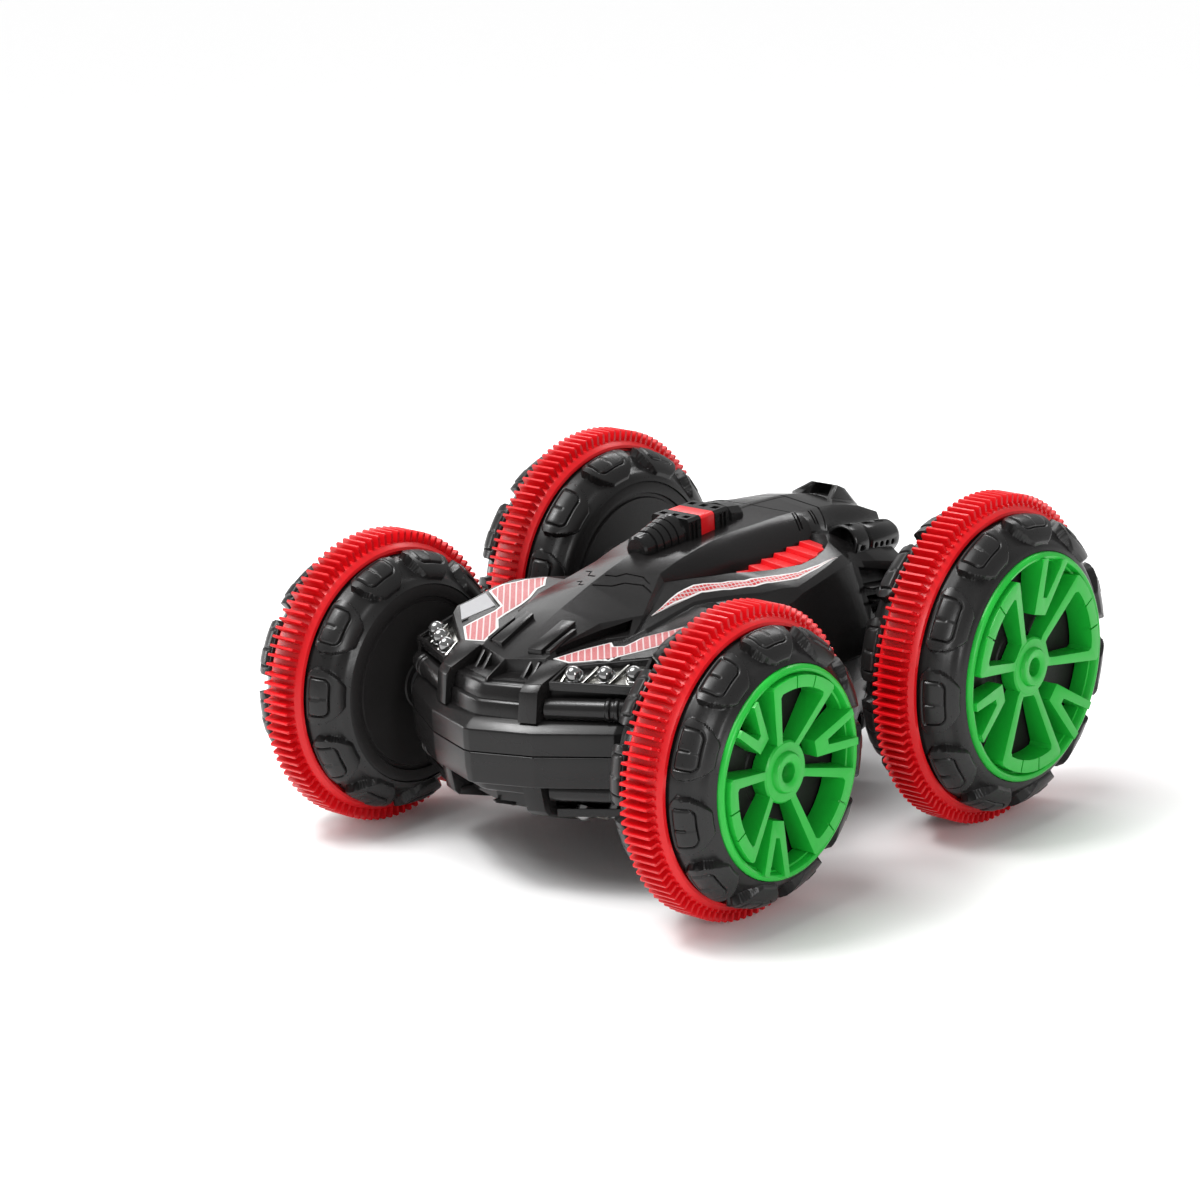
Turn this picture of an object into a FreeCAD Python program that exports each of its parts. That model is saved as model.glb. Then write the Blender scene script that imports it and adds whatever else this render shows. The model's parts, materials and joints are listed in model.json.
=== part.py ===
import FreeCAD, Part
import math
import os

from FreeCAD import Vector as V

# A double-sided four-wheel stunt car that also drives on water.
# Millimetres. +X is the car's left, -Y its front, +Z up. The origin is on the ground, midway along the car.
# The body is the same above and below a mid-plane through both axles. It is drawn in its own chassis frame,
# (x, s, h): s runs rearward from the front axle and h is the height above the mid-plane.

# ---- driving dimensions ----
FRONT_AXLE_Y = -66.0
WHEELBASE_Y = 126.0
FRONT_RING_R = 52.0             # paddle tips, which stand on the ground
REAR_RING_R = 58.05
FRONT_RING_X = 81.25            # middle plane of the paddle ring
REAR_RING_X = 89.7
FRONT_RIM_R = 35.2
REAR_RIM_R = 40.2
FRONT_FINS = 99
REAR_FINS = 110
FRONT_RIM_DEG = 78.6            # direction of the first pair of spokes, from the rear upwards
REAR_RIM_DEG = 21.5
PETAL_HALF_DEG = 28.5           # half the angle between the two spokes of a pair
PRONG_DEG = 55.0                # from a pair of spokes to the next prong
PRONG_HALF_DEG = 9.5
LUGS = 11                       # tread blocks on each half of a tyre

WALL = 2.2                      # body shells
AXLE_R = 2.0
RUNNING = 0.05                  # radial clearance of a shaft in its bore

TILT = math.atan2(REAR_RING_R - FRONT_RING_R, WHEELBASE_Y)
REAR_S = math.hypot(WHEELBASE_Y, REAR_RING_R - FRONT_RING_R)

# gear train beside each wheel: motor pinion, two-step reduction gear, output gear on the axle
PINION_TEETH = 12
REDUCTION_BIG_TEETH = 42
REDUCTION_SMALL_TEETH = 12
OUTPUT_TEETH = 36
FIRST_MODULE = 0.5
SECOND_MODULE = 0.6
MESH_SLACK = 0.12               # added to each centre distance
REDUCTION_S = SECOND_MODULE * (REDUCTION_SMALL_TEETH + OUTPUT_TEETH) / 2 + MESH_SLACK
MOTOR_S = REDUCTION_S + FIRST_MODULE * (PINION_TEETH + REDUCTION_BIG_TEETH) / 2 + MESH_SLACK
PIN_R = 1.0
MOTOR_R = 10.0
MOTOR_FLAT = 7.6                # half the height across the can's flats
CASE_X = 30.0                   # inner face of the gear space
CASE_DEPTH = 11.5
CASE_WALL = 1.5
MOTOR_LENGTH = 25.0
SNOUT_R = 7.0                   # tube round the axle outside the body

# ---- small helpers ----


def chassis(shape):
    """Carries a shape from the chassis frame to the car's frame."""
    placed = shape.copy()
    placed.rotate(V(0, 0, 0), V(1, 0, 0), math.degrees(TILT))
    placed.translate(V(0, FRONT_AXLE_Y, FRONT_RING_R))
    return placed


def mirrored(shape, normal):
    """The mirror image through the origin, with its faces still pointing outwards."""
    image = shape.mirror(V(0, 0, 0), normal)
    if image.Volume < 0:
        image.reverse()
    return image


def left_right(shape):
    return [shape, mirrored(shape, V(1, 0, 0))]


def up_down(shape):
    return [shape, mirrored(shape, V(0, 0, 1))]


def write(name, shapes):
    shapes = shapes if isinstance(shapes, list) else [shapes]
    solids = [solid for shape in shapes for solid in shape.Solids]
    whole = solids[0] if len(solids) == 1 else Part.makeCompound(solids)
    whole.exportStep(os.path.join("parts", name + ".step"))


def prism(points, direction):
    """Extrudes a closed flat outline."""
    return Part.Face(Part.makePolygon(points + [points[0]])).extrude(direction)


def revolved(profile, start=0.0, angle=360.0):
    """Turns an outline of (x, r) points about the X axis."""
    points = [V(x, 0, r) for x, r in profile]
    solid = Part.Face(Part.makePolygon(points + [points[0]])).revolve(V(0, 0, 0), V(1, 0, 0), angle)
    solid.rotate(V(0, 0, 0), V(1, 0, 0), start)
    return solid


def tube(x0, x1, r, bore=0.0, s=0.0, h=0.0):
    """A round bar or tube along X."""
    bar = Part.makeCylinder(r, x1 - x0, V(x0, s, h), V(1, 0, 0))
    if bore:
        bar = bar.cut(Part.makeCylinder(bore, x1 - x0 + 2, V(x0 - 1, s, h), V(1, 0, 0)))
    return bar


def box(x0, x1, s0, s1, h0, h1):
    return Part.makeBox(x1 - x0, s1 - s0, h1 - h0, V(x0, s0, h0))


def polyhedron(loops):
    """A closed solid from flat faces, each a list of points; loops of four are split in two."""
    faces = []
    for loop in loops:
        pieces = [loop] if len(loop) != 4 else [loop[:3], [loop[0], loop[2], loop[3]]]
        for piece in pieces:
            faces.append(Part.Face(Part.makePolygon(piece + [piece[0]])))
    solid = Part.Solid(Part.makeShell(faces))
    if solid.Volume < 0:
        solid.reverse()
    return solid


# ---- body shells ----

# Feature lines of the upper half on its left side, front to back, one row per station. The lines are the
# centre crease, the roof edge, the inner and outer edges of the side strip, the shoulder, the top of the
# sill, and the parting line.
STATIONS = [
    [(0, -36, 9), (16.4, -32.5, 9), (22.8, -30, 9), (34, -22.5, 9),
     (46, -15, 9), (49, -12.5, 8), (50, -11.5, 0)],
    [(0, -28.4, 22), (16.4, -27.5, 22.6), (23, -25, 23.3), (36, -18.5, 23),
     (49.5, -11.5, 22.5), (50.3, -11, 8.5), (51, -10.5, 0)],
    [(0, -16, 27.5), (14.2, -16, 27.1), (23.7, -16, 26.9), (34, -8, 27.3),
     (46, 0, 26.5), (51, 0, 9), (52, 0, 0)],
    [(0, 12, 35.8), (16.5, 12, 34), (24, 12, 30), (33, 12, 29),
     (46, 12, 26), (51, 12, 9), (52, 12, 0)],
    [(0, 44, 44), (14.5, 44, 40.5), (16.5, 44, 37), (25, 46, 32),
     (44, 44, 27), (51, 44, 9), (52, 44, 0)],
    [(0, 62, 45.5), (15, 62, 42.8), (22, 62, 35.5), (31, 64, 31.5),
     (44, 64, 28.5), (51, 64, 9), (52, 64, 0)],
    [(0, 81, 46.3), (15, 81, 44.2), (33, 84, 33.6), (43.7, 81, 30.5),
     (45, 81.5, 29), (51, 81, 9), (52, 81, 0)],
    [(0, 96, 46.6), (15, 96, 44.4), (36, 97, 34.2), (42, 97, 32),
     (44, 98, 30), (51, 96, 9), (52, 96, 0)],
    [(0, 113, 46), (15, 113, 44.3), (33, 113, 36), (39.5, 111, 33),
     (42, 112, 31), (50, 113, 8), (51, 113, 0)],
    [(0, 130, 45), (14.5, 130, 42.1), (22, 130, 36), (38, 130, 28),
     (41, 130, 27), (49, 130, 7), (50, 130, 0)],
    [(0, 150, 42), (12, 150, 40), (20, 150, 33), (36, 147, 22),
     (39, 147, 21), (45, 148, 6), (46, 148, 0)],
    [(0, 165, 33), (13, 165, 31), (18, 165, 29), (30, 160, 17),
     (33, 159, 15), (38, 158, 5), (39, 158, 0)],
]
TAIL_S = 169.0


def dome(rows, tail_s=TAIL_S):
    """The closed upper half over the parting plane, from rows of points on the left side."""
    def both(row):
        return [V(-x, s, h) for x, s, h in reversed(row[1:])] + [V(*point) for point in row]

    rows = [both(row) for row in rows]
    foot = [V(point.x, point.y, 0) for point in rows[0]]
    tail = [V(point.x, tail_s - 0.18 * abs(point.x), 0) for point in rows[-1][1:-1]]
    tail = [rows[-1][0]] + tail + [rows[-1][-1]]
    loops = []
    for near, far in zip([foot] + rows, rows + [tail]):
        for k in range(len(near) - 1):
            loop = [near[k], near[k + 1], far[k + 1], far[k]]
            if k < len(near) // 2:
                loop = loop[1:] + loop[:1]
            kept = [p for n, p in enumerate(loop) if all((p - q).Length > 1e-6 for q in loop[:n])]
            if len(kept) > 2:
                loops.append(kept)
    left_edge = [row[-1] for row in rows]
    right_edge = [row[0] for row in rows]
    loops.append(foot[1:-1] + left_edge + tail[-2:0:-1] + right_edge[::-1])
    return polyhedron(loops)


def inset(row, along):
    """The same station, one wall thickness inside."""
    share = [(0, 1), (0.2, 1), (0.3, 1), (0.5, 1), (1, 1), (1, 0.3), (1, 0)]
    return [(x - WALL * a, s + along, h - WALL * b) for (x, s, h), (a, b) in zip(row, share)]


def bumper_belt():
    """The faceted belt round the nose; its plan steps in towards its top."""
    def plan(step, h):
        outer = [(0, -41.5), (22.7, -34), (46, -20), (53, -10.5)]
        left = [(max(x - 0.4 * step, 0), s + step) for x, s in outer] + [(49, 4)]
        return [V(x, s, h) for x, s in left] + [V(-x, s, h) for x, s in left[:0:-1]]

    levels = [plan(0, 0), plan(0, 5.7), plan(1.4, 8.5), plan(5, 10.7)]
    return Part.makeLoft([Part.makePolygon(level + [level[0]]) for level in levels], True, True)


SCREW_PLACES = [(0, -18), (39, 52), (-39, 52), (39, 76), (-39, 76), (0, 150)]
SCREW_R = 1.3
BOSS_R = 3.2
HATCH_S = (-5.0, 47.5)
HATCH_X = 13.0
HATCH_BAR_S = 45.0              # the shell's cross bar that takes the hatch screw
SWITCH_S = 108.0
SWITCH_TRAVEL = 3.0


def crease_h(s):
    """Height of the centre crease at s."""
    for (_, s0, h0), (_, s1, h1) in zip([row[0] for row in STATIONS], [row[0] for row in STATIONS[1:]]):
        if s0 <= s <= s1:
            return h0 + (h1 - h0) * (s - s0) / (s1 - s0)
    return 0.0


def cavity():
    """The hollow inside the upper half, pulled in at the nose and the tail."""
    rows = [inset(row, 0) for row in STATIONS]
    rows[0] = inset(STATIONS[0], 2.5)
    rows[1] = inset(STATIONS[1], 3)
    rows[-1] = inset(STATIONS[-1], -4)
    return dome(rows, TAIL_S - 4)


def half_shell():
    """The upper shell: a hollow moulding with headlight pockets, intakes, side slots and axle holes."""
    outer = dome(STATIONS)
    shell = outer.fuse(bumper_belt())
    inner = cavity()
    inner.translate(V(0, 0, -0.001))
    shell = shell.cut(inner)
    shell = shell.cut(Part.makeCompound(left_right(insert_pocket()) + left_right(headlight_pocket())))
    bosses = []
    for x, s in SCREW_PLACES:
        boss = Part.makeCylinder(BOSS_R, 60, V(x, s, 0), V(0, 0, 1)).common(outer)
        bosses.append(boss.cut(Part.makeCylinder(SCREW_R + 0.02, 14, V(x, s, 0), V(0, 0, 1))))
    shell = shell.fuse(bosses)
    holes = [tube(40, 70, SNOUT_R + 0.3, s=s) for s in (0, REAR_S)]
    return shell.cut(Part.makeCompound([side for hole in holes for side in left_right(hole)]))


def well(floor, top_h):
    """A hole with a sloping four-sided floor and upright sides."""
    lid = [V(p.x, p.y, top_h) for p in floor]
    sides = [[floor[k - 1], lid[k - 1], lid[k], floor[k]] for k in range(4)]
    return polyhedron([floor, lid[::-1]] + sides)


def headlight_pocket():
    """The slanted tray opening above the bumper, one side."""
    return well([V(24.5, -26, 21.2), V(48.2, -13, 20.5), V(44.2, -0.4, 25.4), V(24.5, -16.4, 24.6)], 36)


def insert_pocket():
    """The tapering slot between the cabin side and the side strip."""
    plan = [V(20, 66, 28), V(33, 88, 28), V(32, 109, 28), V(24, 109, 28)]
    return prism(plan, V(0, 0, 20))


INSERT_TEETH = 9


def side_insert():
    """The red stepped panel that lies in the slot."""
    start, end, base = 68.0, 108.4, 28.6
    outline = [V(21, start, base), V(32.3, 88.3, base), V(31.4, end, base), V(24.6, end, base)]
    pitch = (end - start) / INSERT_TEETH
    top = []
    for n in range(INSERT_TEETH):
        foot = V(0, start + n * pitch, 34 + 0.3 * n)
        top += [foot, foot + V(0, pitch, 2.2)]
    profile = [V(0, start, base)] + top + [V(0, end, base)]
    return prism(outline, V(0, 0, 14)).common(prism(profile, V(60, 0, 0)))


def shell_seal():
    """The rubber cord that keeps water out, inside the walls across the parting plane, cut at the snouts."""
    def loop(step):
        half = [(0, -33.0), (22, -26.6), (43.2, -12.4), (49, -7.6),
                (49, 110), (43.3, 146), (35, 155), (0, 162)]
        half = [(x * (1 - step / 48), s + step * (1 if s < 50 else -1)) for x, s in half]
        return [V(x, s, -0.9) for x, s in half] + [V(-x, s, -0.9) for x, s in half[-2:0:-1]]

    ring = prism(loop(0), V(0, 0, 1.8)).cut(prism(loop(1.4), V(0, 0, 1.8)))
    gaps = [tube(40, 60, SNOUT_R + 0.3, s=s) for s in (0, REAR_S)]
    gaps += [tube(CASE_X - 2, CASE_X + CASE_DEPTH + 2, 13, s=s) for s in (0, REAR_S)]
    return ring.cut([part for gap in gaps for part in left_right(gap)])


# ---- parts on the body ----

ENGINE_S = 50.0


def engine_cover():
    """The raised block on the roof: a ribbed nose, two blocks with a gap for the band, and a ribbed tail."""
    base = 43.0
    nose = []
    for n in range(5):
        r = 3.6 + 0.45 * n
        nose.append(Part.makeCylinder(r, 3.4, V(0, ENGINE_S + 3.3 * n, 46.4 + 0.25 * n), V(0, 1, 0)))
    front = box(-8.5, 8.5, ENGINE_S + 16.4, ENGINE_S + 23, base + 2, 52.9)
    rear = box(-8.5, 8.5, ENGINE_S + 30.6, ENGINE_S + 38, base + 2, 52.3)
    core = box(-7.2, 7.2, ENGINE_S + 16.4, ENGINE_S + 38, base + 2, 50.4)
    tail = []
    for n in range(3):
        s = ENGINE_S + 38 + 3.4 * n
        tail.append(box(-7.6, 7.6, s, s + 2.6, base + 2, 51.6 - n))
    tail.append(box(-6.6, 6.6, ENGINE_S + 37, ENGINE_S + 48, base + 2, 49))
    whole = nose[0].fuse(nose[1:] + [front, rear, core] + tail)
    return whole.cut(dome(STATIONS)).Solids


def largest(solids):
    return max(solids, key=lambda solid: solid.Volume)


def engine_band():
    s0, s1 = ENGINE_S + 23.2, ENGINE_S + 30.4
    band = box(-8.2, 8.2, s0, s1, 46.8, 52.5)
    return band.cut(box(-7.25, 7.25, s0 - 1, s1 + 1, 40, 50.45)).cut(dome(STATIONS))


LED_R = 2.5
LED_AXIS = V(0, -0.45, 0.893)
LED_H = 24.9
LED_PLACES = [(28.9, -17.6), (36.4, -12.0), (43.2, -6.2)]


def headlight_reflector():
    """Chrome tray under the LEDs."""
    floor = [V(24.8, -25.2, 21.6), V(47.8, -12.6, 20.9), V(43.9, -0.8, 25.7), V(24.8, -16.8, 24.9)]
    tray = well(floor, 40).cut(well([p + V(0, 0, 1.5) for p in floor], 41))
    for x, s in LED_PLACES:
        tray = tray.cut(Part.makeCylinder(LED_R + 0.05, 12, V(x, s, LED_H) - LED_AXIS * 0.02, LED_AXIS))
    return tray


def headlight_leds():
    """Round-nosed LEDs standing on the reflector."""
    leds = []
    for x, s in LED_PLACES:
        foot = V(x, s, LED_H)
        body = Part.makeCylinder(LED_R, 1.2, foot, LED_AXIS)
        leds.append(body.fuse(Part.makeSphere(LED_R, foot + LED_AXIS * 1.2)).cut(
            Part.makeCylinder(LED_R + 1, 6, foot, -LED_AXIS)))
    return leds


def turbine_pod():
    """The slotted drum on each rear shoulder, with an open mouth at its front."""
    start, end = V(29, 122, 33.5), V(29, 151, 27.5)
    along = end - start
    pod = Part.makeCylinder(6.2, along.Length, start, along)
    pod = pod.cut(Part.makeCylinder(4.6, 7, start, along))
    unit = V(along).normalize()
    for n in range(3):
        groove = Part.makeCylinder(7, 1, start + unit * (8 + 6.5 * n), along)
        pod = pod.cut(groove.cut(Part.makeCylinder(5.6, 1, start + unit * (8 + 6.5 * n), along)))
    return largest(pod.cut(dome(STATIONS)).Solids)


def hatch_slab(gap, top, depth):
    """A panel over the hood that follows its two slopes, turned to the lower side."""
    points = [HATCH_S[0] + gap, 12, 44, HATCH_S[1] - gap]
    upper = [V(-HATCH_X + gap, s, crease_h(s) + top) for s in points]
    lower = [V(-HATCH_X + gap, s, crease_h(s) - depth) for s in reversed(points)]
    return mirrored(prism(upper + lower, V(2 * (HATCH_X - gap), 0, 0)), V(0, 0, 1))


def battery_pack():
    """Two cells side by side in one sleeve, parallel to the hood above them."""
    cells = []
    for x in (-7.2, 7.2):
        cells.append(Part.makeCylinder(7.0, 46, V(x, 0, 0), V(0, 1, 0)))
    pack = cells[0].fuse(cells[1]).fuse(box(-7.2, 7.2, 0, 46, -7, 7))
    pack.rotate(V(0, 0, 0), V(1, 0, 0), 15.4)
    pack.translate(V(0, -2.5, 20.4))
    return pack


def circuit_board():
    board = box(-16, 16, 46, 86, 10, 11.6)
    parts = [box(-6, 3, 52, 61, 11.6, 13.4), box(7, 14, 52, 56, 11.6, 13.2), box(-14, -9, 64, 71, 11.6, 14),
             box(-4, 4, 68, 73, 11.6, 13.2), Part.makeCylinder(3, 8, V(11, 79, 11.6), V(0, 0, 1)),
             box(-13, -7, 76, 82, 11.6, 15.6), box(6, 12, 62, 69, 11.6, 14.8)]
    return board.fuse(parts)


# ---- drive ----


def involute_gear(teeth, module, bore, x0, x1, phase_deg):
    """A spur gear about X with involute flanks; one tooth is centred at phase, from +s towards +h."""
    pitch_r = module * teeth / 2
    base_r = pitch_r * math.cos(math.radians(20))
    tip_r = pitch_r + 0.85 * module
    root_r = pitch_r - 1.2 * module
    backlash = 0.04

    def flank(r):
        spread = math.sqrt(max((r / base_r) ** 2 - 1, 0))
        return spread - math.atan(spread)

    half_pitch = math.pi / (2 * teeth) - backlash / pitch_r
    outline = []
    radii = [max(base_r, root_r) + (tip_r - max(base_r, root_r)) * k / 4 for k in range(5)]
    for n in range(teeth):
        centre = math.radians(phase_deg) + 2 * math.pi * n / teeth
        offsets = [half_pitch + flank(pitch_r) - flank(r) for r in radii]
        side = [(r, -offset) for r, offset in zip(radii, offsets)]
        rising = [(root_r, -offsets[0] - 0.02)] + side
        falling = [(r, -angle) for r, angle in reversed(rising)]
        outline += [V(x0, r * math.cos(centre + a), r * math.sin(centre + a)) for r, a in rising + falling]
    gear = prism(outline, V(x1 - x0, 0, 0))
    return gear.cut(tube(x0 - 1, x1 + 1, bore)) if bore else gear


def toward(direction):
    """Gear train places along s: +1 behind the front axle, -1 ahead of the rear axle."""
    axle_s = 0.0 if direction > 0 else REAR_S
    return axle_s, axle_s + direction * REDUCTION_S, axle_s + direction * MOTOR_S


def place_gear(gear, s):
    gear = gear.copy()
    gear.translate(V(0, s, 0))
    return gear


def output_gear(direction):
    phase = 0.0 if direction > 0 else 180.0
    gear = involute_gear(OUTPUT_TEETH, SECOND_MODULE, AXLE_R, CASE_X + 6.5, CASE_X + 10.2, phase)
    return place_gear(gear, toward(direction)[0])


def reduction_gear(direction):
    """One moulding: the small gear faces the output gear, the big one faces the pinion."""
    phase = 0.0 if direction > 0 else 180.0
    small_gap = 180.0 + 180.0 / REDUCTION_SMALL_TEETH + phase
    big = involute_gear(REDUCTION_BIG_TEETH, FIRST_MODULE, PIN_R + RUNNING, CASE_X + 0.8, CASE_X + 4.8, phase)
    small = involute_gear(REDUCTION_SMALL_TEETH, SECOND_MODULE, PIN_R + RUNNING, CASE_X + 4.8, CASE_X + 10.6,
                          small_gap)
    return place_gear(big.fuse(small), toward(direction)[1])


def motor_pinion(direction):
    """The brass pinion on the end of the motor's steel shaft."""
    gap = 180.0 / PINION_TEETH + (180.0 if direction > 0 else 0.0)
    gear = involute_gear(PINION_TEETH, FIRST_MODULE, 1.0, CASE_X + 0.6, CASE_X + 5.2, gap)
    shaft = tube(CASE_X - CASE_WALL - 3.0, CASE_X + 5.6, 1.0)
    return [place_gear(gear, toward(direction)[2]), place_gear(shaft, toward(direction)[2])]


def motor():
    """A flat-sided can motor, at s = 0."""
    front = CASE_X - CASE_WALL - 0.02
    can = tube(front - MOTOR_LENGTH, front, MOTOR_R)
    can = can.common(box(0, 60, -MOTOR_R, MOTOR_R, -MOTOR_FLAT, MOTOR_FLAT))
    cap = tube(front - MOTOR_LENGTH - 2, front - MOTOR_LENGTH, 4)
    return can.fuse(cap).cut(tube(front - 4, front + 1, 1.0 + RUNNING))


def stadium(x0, x1, s0, r0, s1, r1):
    """A plate about X: two discs of different radius joined by their common tangents."""
    lean = math.acos((r0 - r1) / abs(s1 - s0))
    way = 1 if s1 > s0 else -1
    corners = [V(x0, s0 + way * r0 * math.cos(lean), r0 * math.sin(lean)),
               V(x0, s1 + way * r1 * math.cos(lean), r1 * math.sin(lean)),
               V(x0, s1 + way * r1 * math.cos(lean), -r1 * math.sin(lean)),
               V(x0, s0 + way * r0 * math.cos(lean), -r0 * math.sin(lean))]
    return prism(corners, V(x1 - x0, 0, 0)).fuse([tube(x0, x1, r0, s=s0), tube(x0, x1, r1, s=s1)])


def gearbox(direction, snout_end):
    """The sealed case round the gears: a cup with the motor plate, and its snout round the axle."""
    axle_s, pin_s, motor_s = toward(direction)
    outside = stadium(CASE_X - CASE_WALL, CASE_X + CASE_DEPTH + CASE_WALL, axle_s, 12.6, motor_s, 8.0)
    outside = outside.fuse(tube(CASE_X - CASE_WALL, CASE_X + CASE_DEPTH + CASE_WALL, 12.4, s=pin_s))
    space = stadium(CASE_X, CASE_X + CASE_DEPTH, axle_s, 11.6, motor_s, 6.8)
    space = space.fuse(tube(CASE_X, CASE_X + CASE_DEPTH, 11.3, s=pin_s))
    case = outside.cut(space)
    case = case.fuse(tube(CASE_X + CASE_DEPTH, snout_end, SNOUT_R, s=axle_s))
    case = case.cut(Part.makeCompound([tube(CASE_X - 5, snout_end + 1, AXLE_R + RUNNING, s=axle_s),
                                       tube(CASE_X - 5, CASE_X + 1, 1.6, s=motor_s),
                                       tube(snout_end - 3.2, snout_end + 1, AXLE_R + 2.0, s=axle_s)]))
    return case.cut(tube(CASE_X - CASE_WALL - 1, CASE_X + CASE_DEPTH + CASE_WALL + 1, PIN_R, s=pin_s))


def gear_pin(direction):
    return tube(CASE_X - CASE_WALL, CASE_X + CASE_DEPTH + CASE_WALL, PIN_R, s=toward(direction)[1])


def axle_seal(direction, snout_end):
    return tube(snout_end - 3.2, snout_end - 0.2, AXLE_R + 2.0, AXLE_R + RUNNING, s=toward(direction)[0])


# ---- wheels, drawn for the left side about the X axis ----


class Wheel:
    """Sizes of one wheel, worked out from its paddle ring."""

    def __init__(self, ring_r, ring_x, rim_r, fins, rim_deg):
        self.ring_r = ring_r
        self.x = ring_x
        self.rim_r = rim_r
        self.fins = fins
        self.rim_deg = rim_deg
        self.shoulder_r = ring_r - 6.0
        self.inner_x = ring_x - 20.4
        self.outer_x = ring_x + 20.2
        self.rim_x = ring_x + 21.9
        self.bead_r = rim_r + 0.2


def tyre(w):
    """Blow-moulded tyre: two bulging halves with a channel between them for the paddle ring."""
    skin = 1.8
    rise = 3.0
    top = w.shoulder_r - rise
    wall = [(0, w.bead_r), (0, w.bead_r + 2.4), (1.5, top - 3), (4.5, top - 0.8), (9, top)]
    seat = w.ring_r - 9
    outer = [(w.inner_x + dx, r) for dx, r in wall] + [(w.x - 6.2, top), (w.x - 6.2, seat), (w.x + 6.2, seat),
                                                       (w.x + 6.2, top)]
    outer += [(w.outer_x - dx, r) for dx, r in reversed(wall)]
    inner = []
    for x, r in reversed(outer):
        inner.append((x + (skin if x < w.x else -skin), r - (skin if r > w.bead_r else 0)))
    carcass = revolved(outer + inner)
    blocks = []
    pitch = 360.0 / LUGS
    for side in (-1, 1):
        edge = w.inner_x if side < 0 else w.outer_x
        profile = [(edge - side * 0.5, top - 4.5), (edge - side * 2, top - 4.5), (edge - side * 7, top - 1.2),
                   (w.x + side * 6.2, top - 1.2), (w.x + side * 6.2, top + rise - 0.4),
                   (w.x + side * 9, top + rise), (edge - side * 5, top + rise - 0.6),
                   (edge - side * 1.2, top - 0.6), (edge, top - 3.4)]
        for n in range(LUGS):
            start = n * pitch - pitch * 0.38 + (pitch / 2 if side < 0 else 0)
            blocks.append(revolved(profile, start, pitch * 0.76))
    return carcass.fuse(blocks)


def paddle_ring(w):
    """The red ring of straight paddles that stands on the ground and drives on water."""
    tip, root = w.ring_r, w.ring_r - 4.0
    half = 5.7
    pitch = 2 * math.pi / w.fins
    outline = []
    for n in range(w.fins):
        for r, share in ((root, -0.2), (tip, -0.14), (tip, 0.14), (root, 0.2)):
            angle = (n + share) * pitch
            outline.append(V(w.x - half, r * math.cos(angle), r * math.sin(angle)))
    band = tube(w.x - 6.0, w.x + 6.0, root + 0.15)
    return prism(outline, V(2 * half, 0, 0)).fuse(band).cut(tube(w.x - 7, w.x + 7, w.ring_r - 8.95))


def wheel_core(w):
    """The black drum that carries the tyre, with its inner wall, outer wall and hub."""
    r = w.bead_r - 0.15
    floor_x = w.rim_x - 9.5
    drum = revolved([(w.inner_x, AXLE_R), (w.inner_x, r), (w.rim_x - 3.6, r), (w.rim_x - 3.6, r - 2),
                     (floor_x + 1.8, r - 2), (floor_x + 1.8, 3.4), (floor_x + 1.2, 3.4),
                     (floor_x + 1.2, AXLE_R)])
    hollow = revolved([(w.inner_x + 2, 6), (w.inner_x + 2, r - 2), (floor_x, r - 2), (floor_x, 6)])
    groove = revolved([(w.inner_x - 1, r - 4.2), (w.inner_x - 1, r - 2.9), (w.inner_x + 0.8, r - 2.9),
                       (w.inner_x + 0.8, r - 4.2)])
    return drum.cut(hollow).cut(groove)


def spoke(angle_deg, r0, r1, width, x0, x1):
    bar = Part.makeBox(x1 - x0, width, r1 - r0, V(x0, -width / 2, r0))
    bar.rotate(V(0, 0, 0), V(1, 0, 0), angle_deg - 90)
    return bar


def rim(w):
    """The green trim wheel: a flange, three pairs of spokes each closed by an arc, and three prongs."""
    r = w.rim_r
    back, front = w.rim_x - 7.3, w.rim_x
    pieces = [revolved([(w.rim_x - 3.4, r - 4.6), (w.rim_x - 3.4, r), (w.rim_x - 0.7, r), (w.rim_x, r - 1.2),
                        (w.rim_x, r - 3), (w.rim_x - 1, r - 4.6)])]
    pieces.append(revolved([(back, r - 5.2), (back, r - 2.4), (w.rim_x - 3, r - 2.4),
                            (w.rim_x - 1, r - 5.2)]))
    pieces.append(tube(back, w.rim_x - 2.6, 10.2))
    pieces.append(tube(back, w.rim_x - 0.8, 6.6))
    for n in range(3):
        petal = w.rim_deg + 120 * n
        prong = petal + PRONG_DEG
        for side in (-1, 1):
            pieces.append(spoke(petal + side * PETAL_HALF_DEG, 5, r - 3.6, 3.0, back, front))
            pieces.append(spoke(prong + side * PRONG_HALF_DEG, 0.47 * r, r - 2.8, 2.8, back, front))
        outer_arc = [(back, 0.80 * r), (back, 0.91 * r), (front, 0.91 * r), (front, 0.80 * r)]
        pieces.append(revolved(outer_arc, petal - PETAL_HALF_DEG - 90, 2 * PETAL_HALF_DEG))
        pieces.append(revolved([(back, 0.46 * r), (back, 0.55 * r), (front, 0.55 * r), (front, 0.46 * r)],
                               prong - PRONG_HALF_DEG - 90, 2 * PRONG_HALF_DEG))
    whole = pieces[0].fuse(pieces[1:])
    return whole.cut(tube(w.rim_x - 20, w.rim_x + 1, 3.2))


def axle(w):
    """Steel shaft from the gearbox to the hub, drilled at its end for the screw."""
    end = w.rim_x - 9.5 + 1.2
    return tube(CASE_X - CASE_WALL + 0.1, end, AXLE_R).cut(tube(end - 7, end + 1, 1.25))


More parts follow.
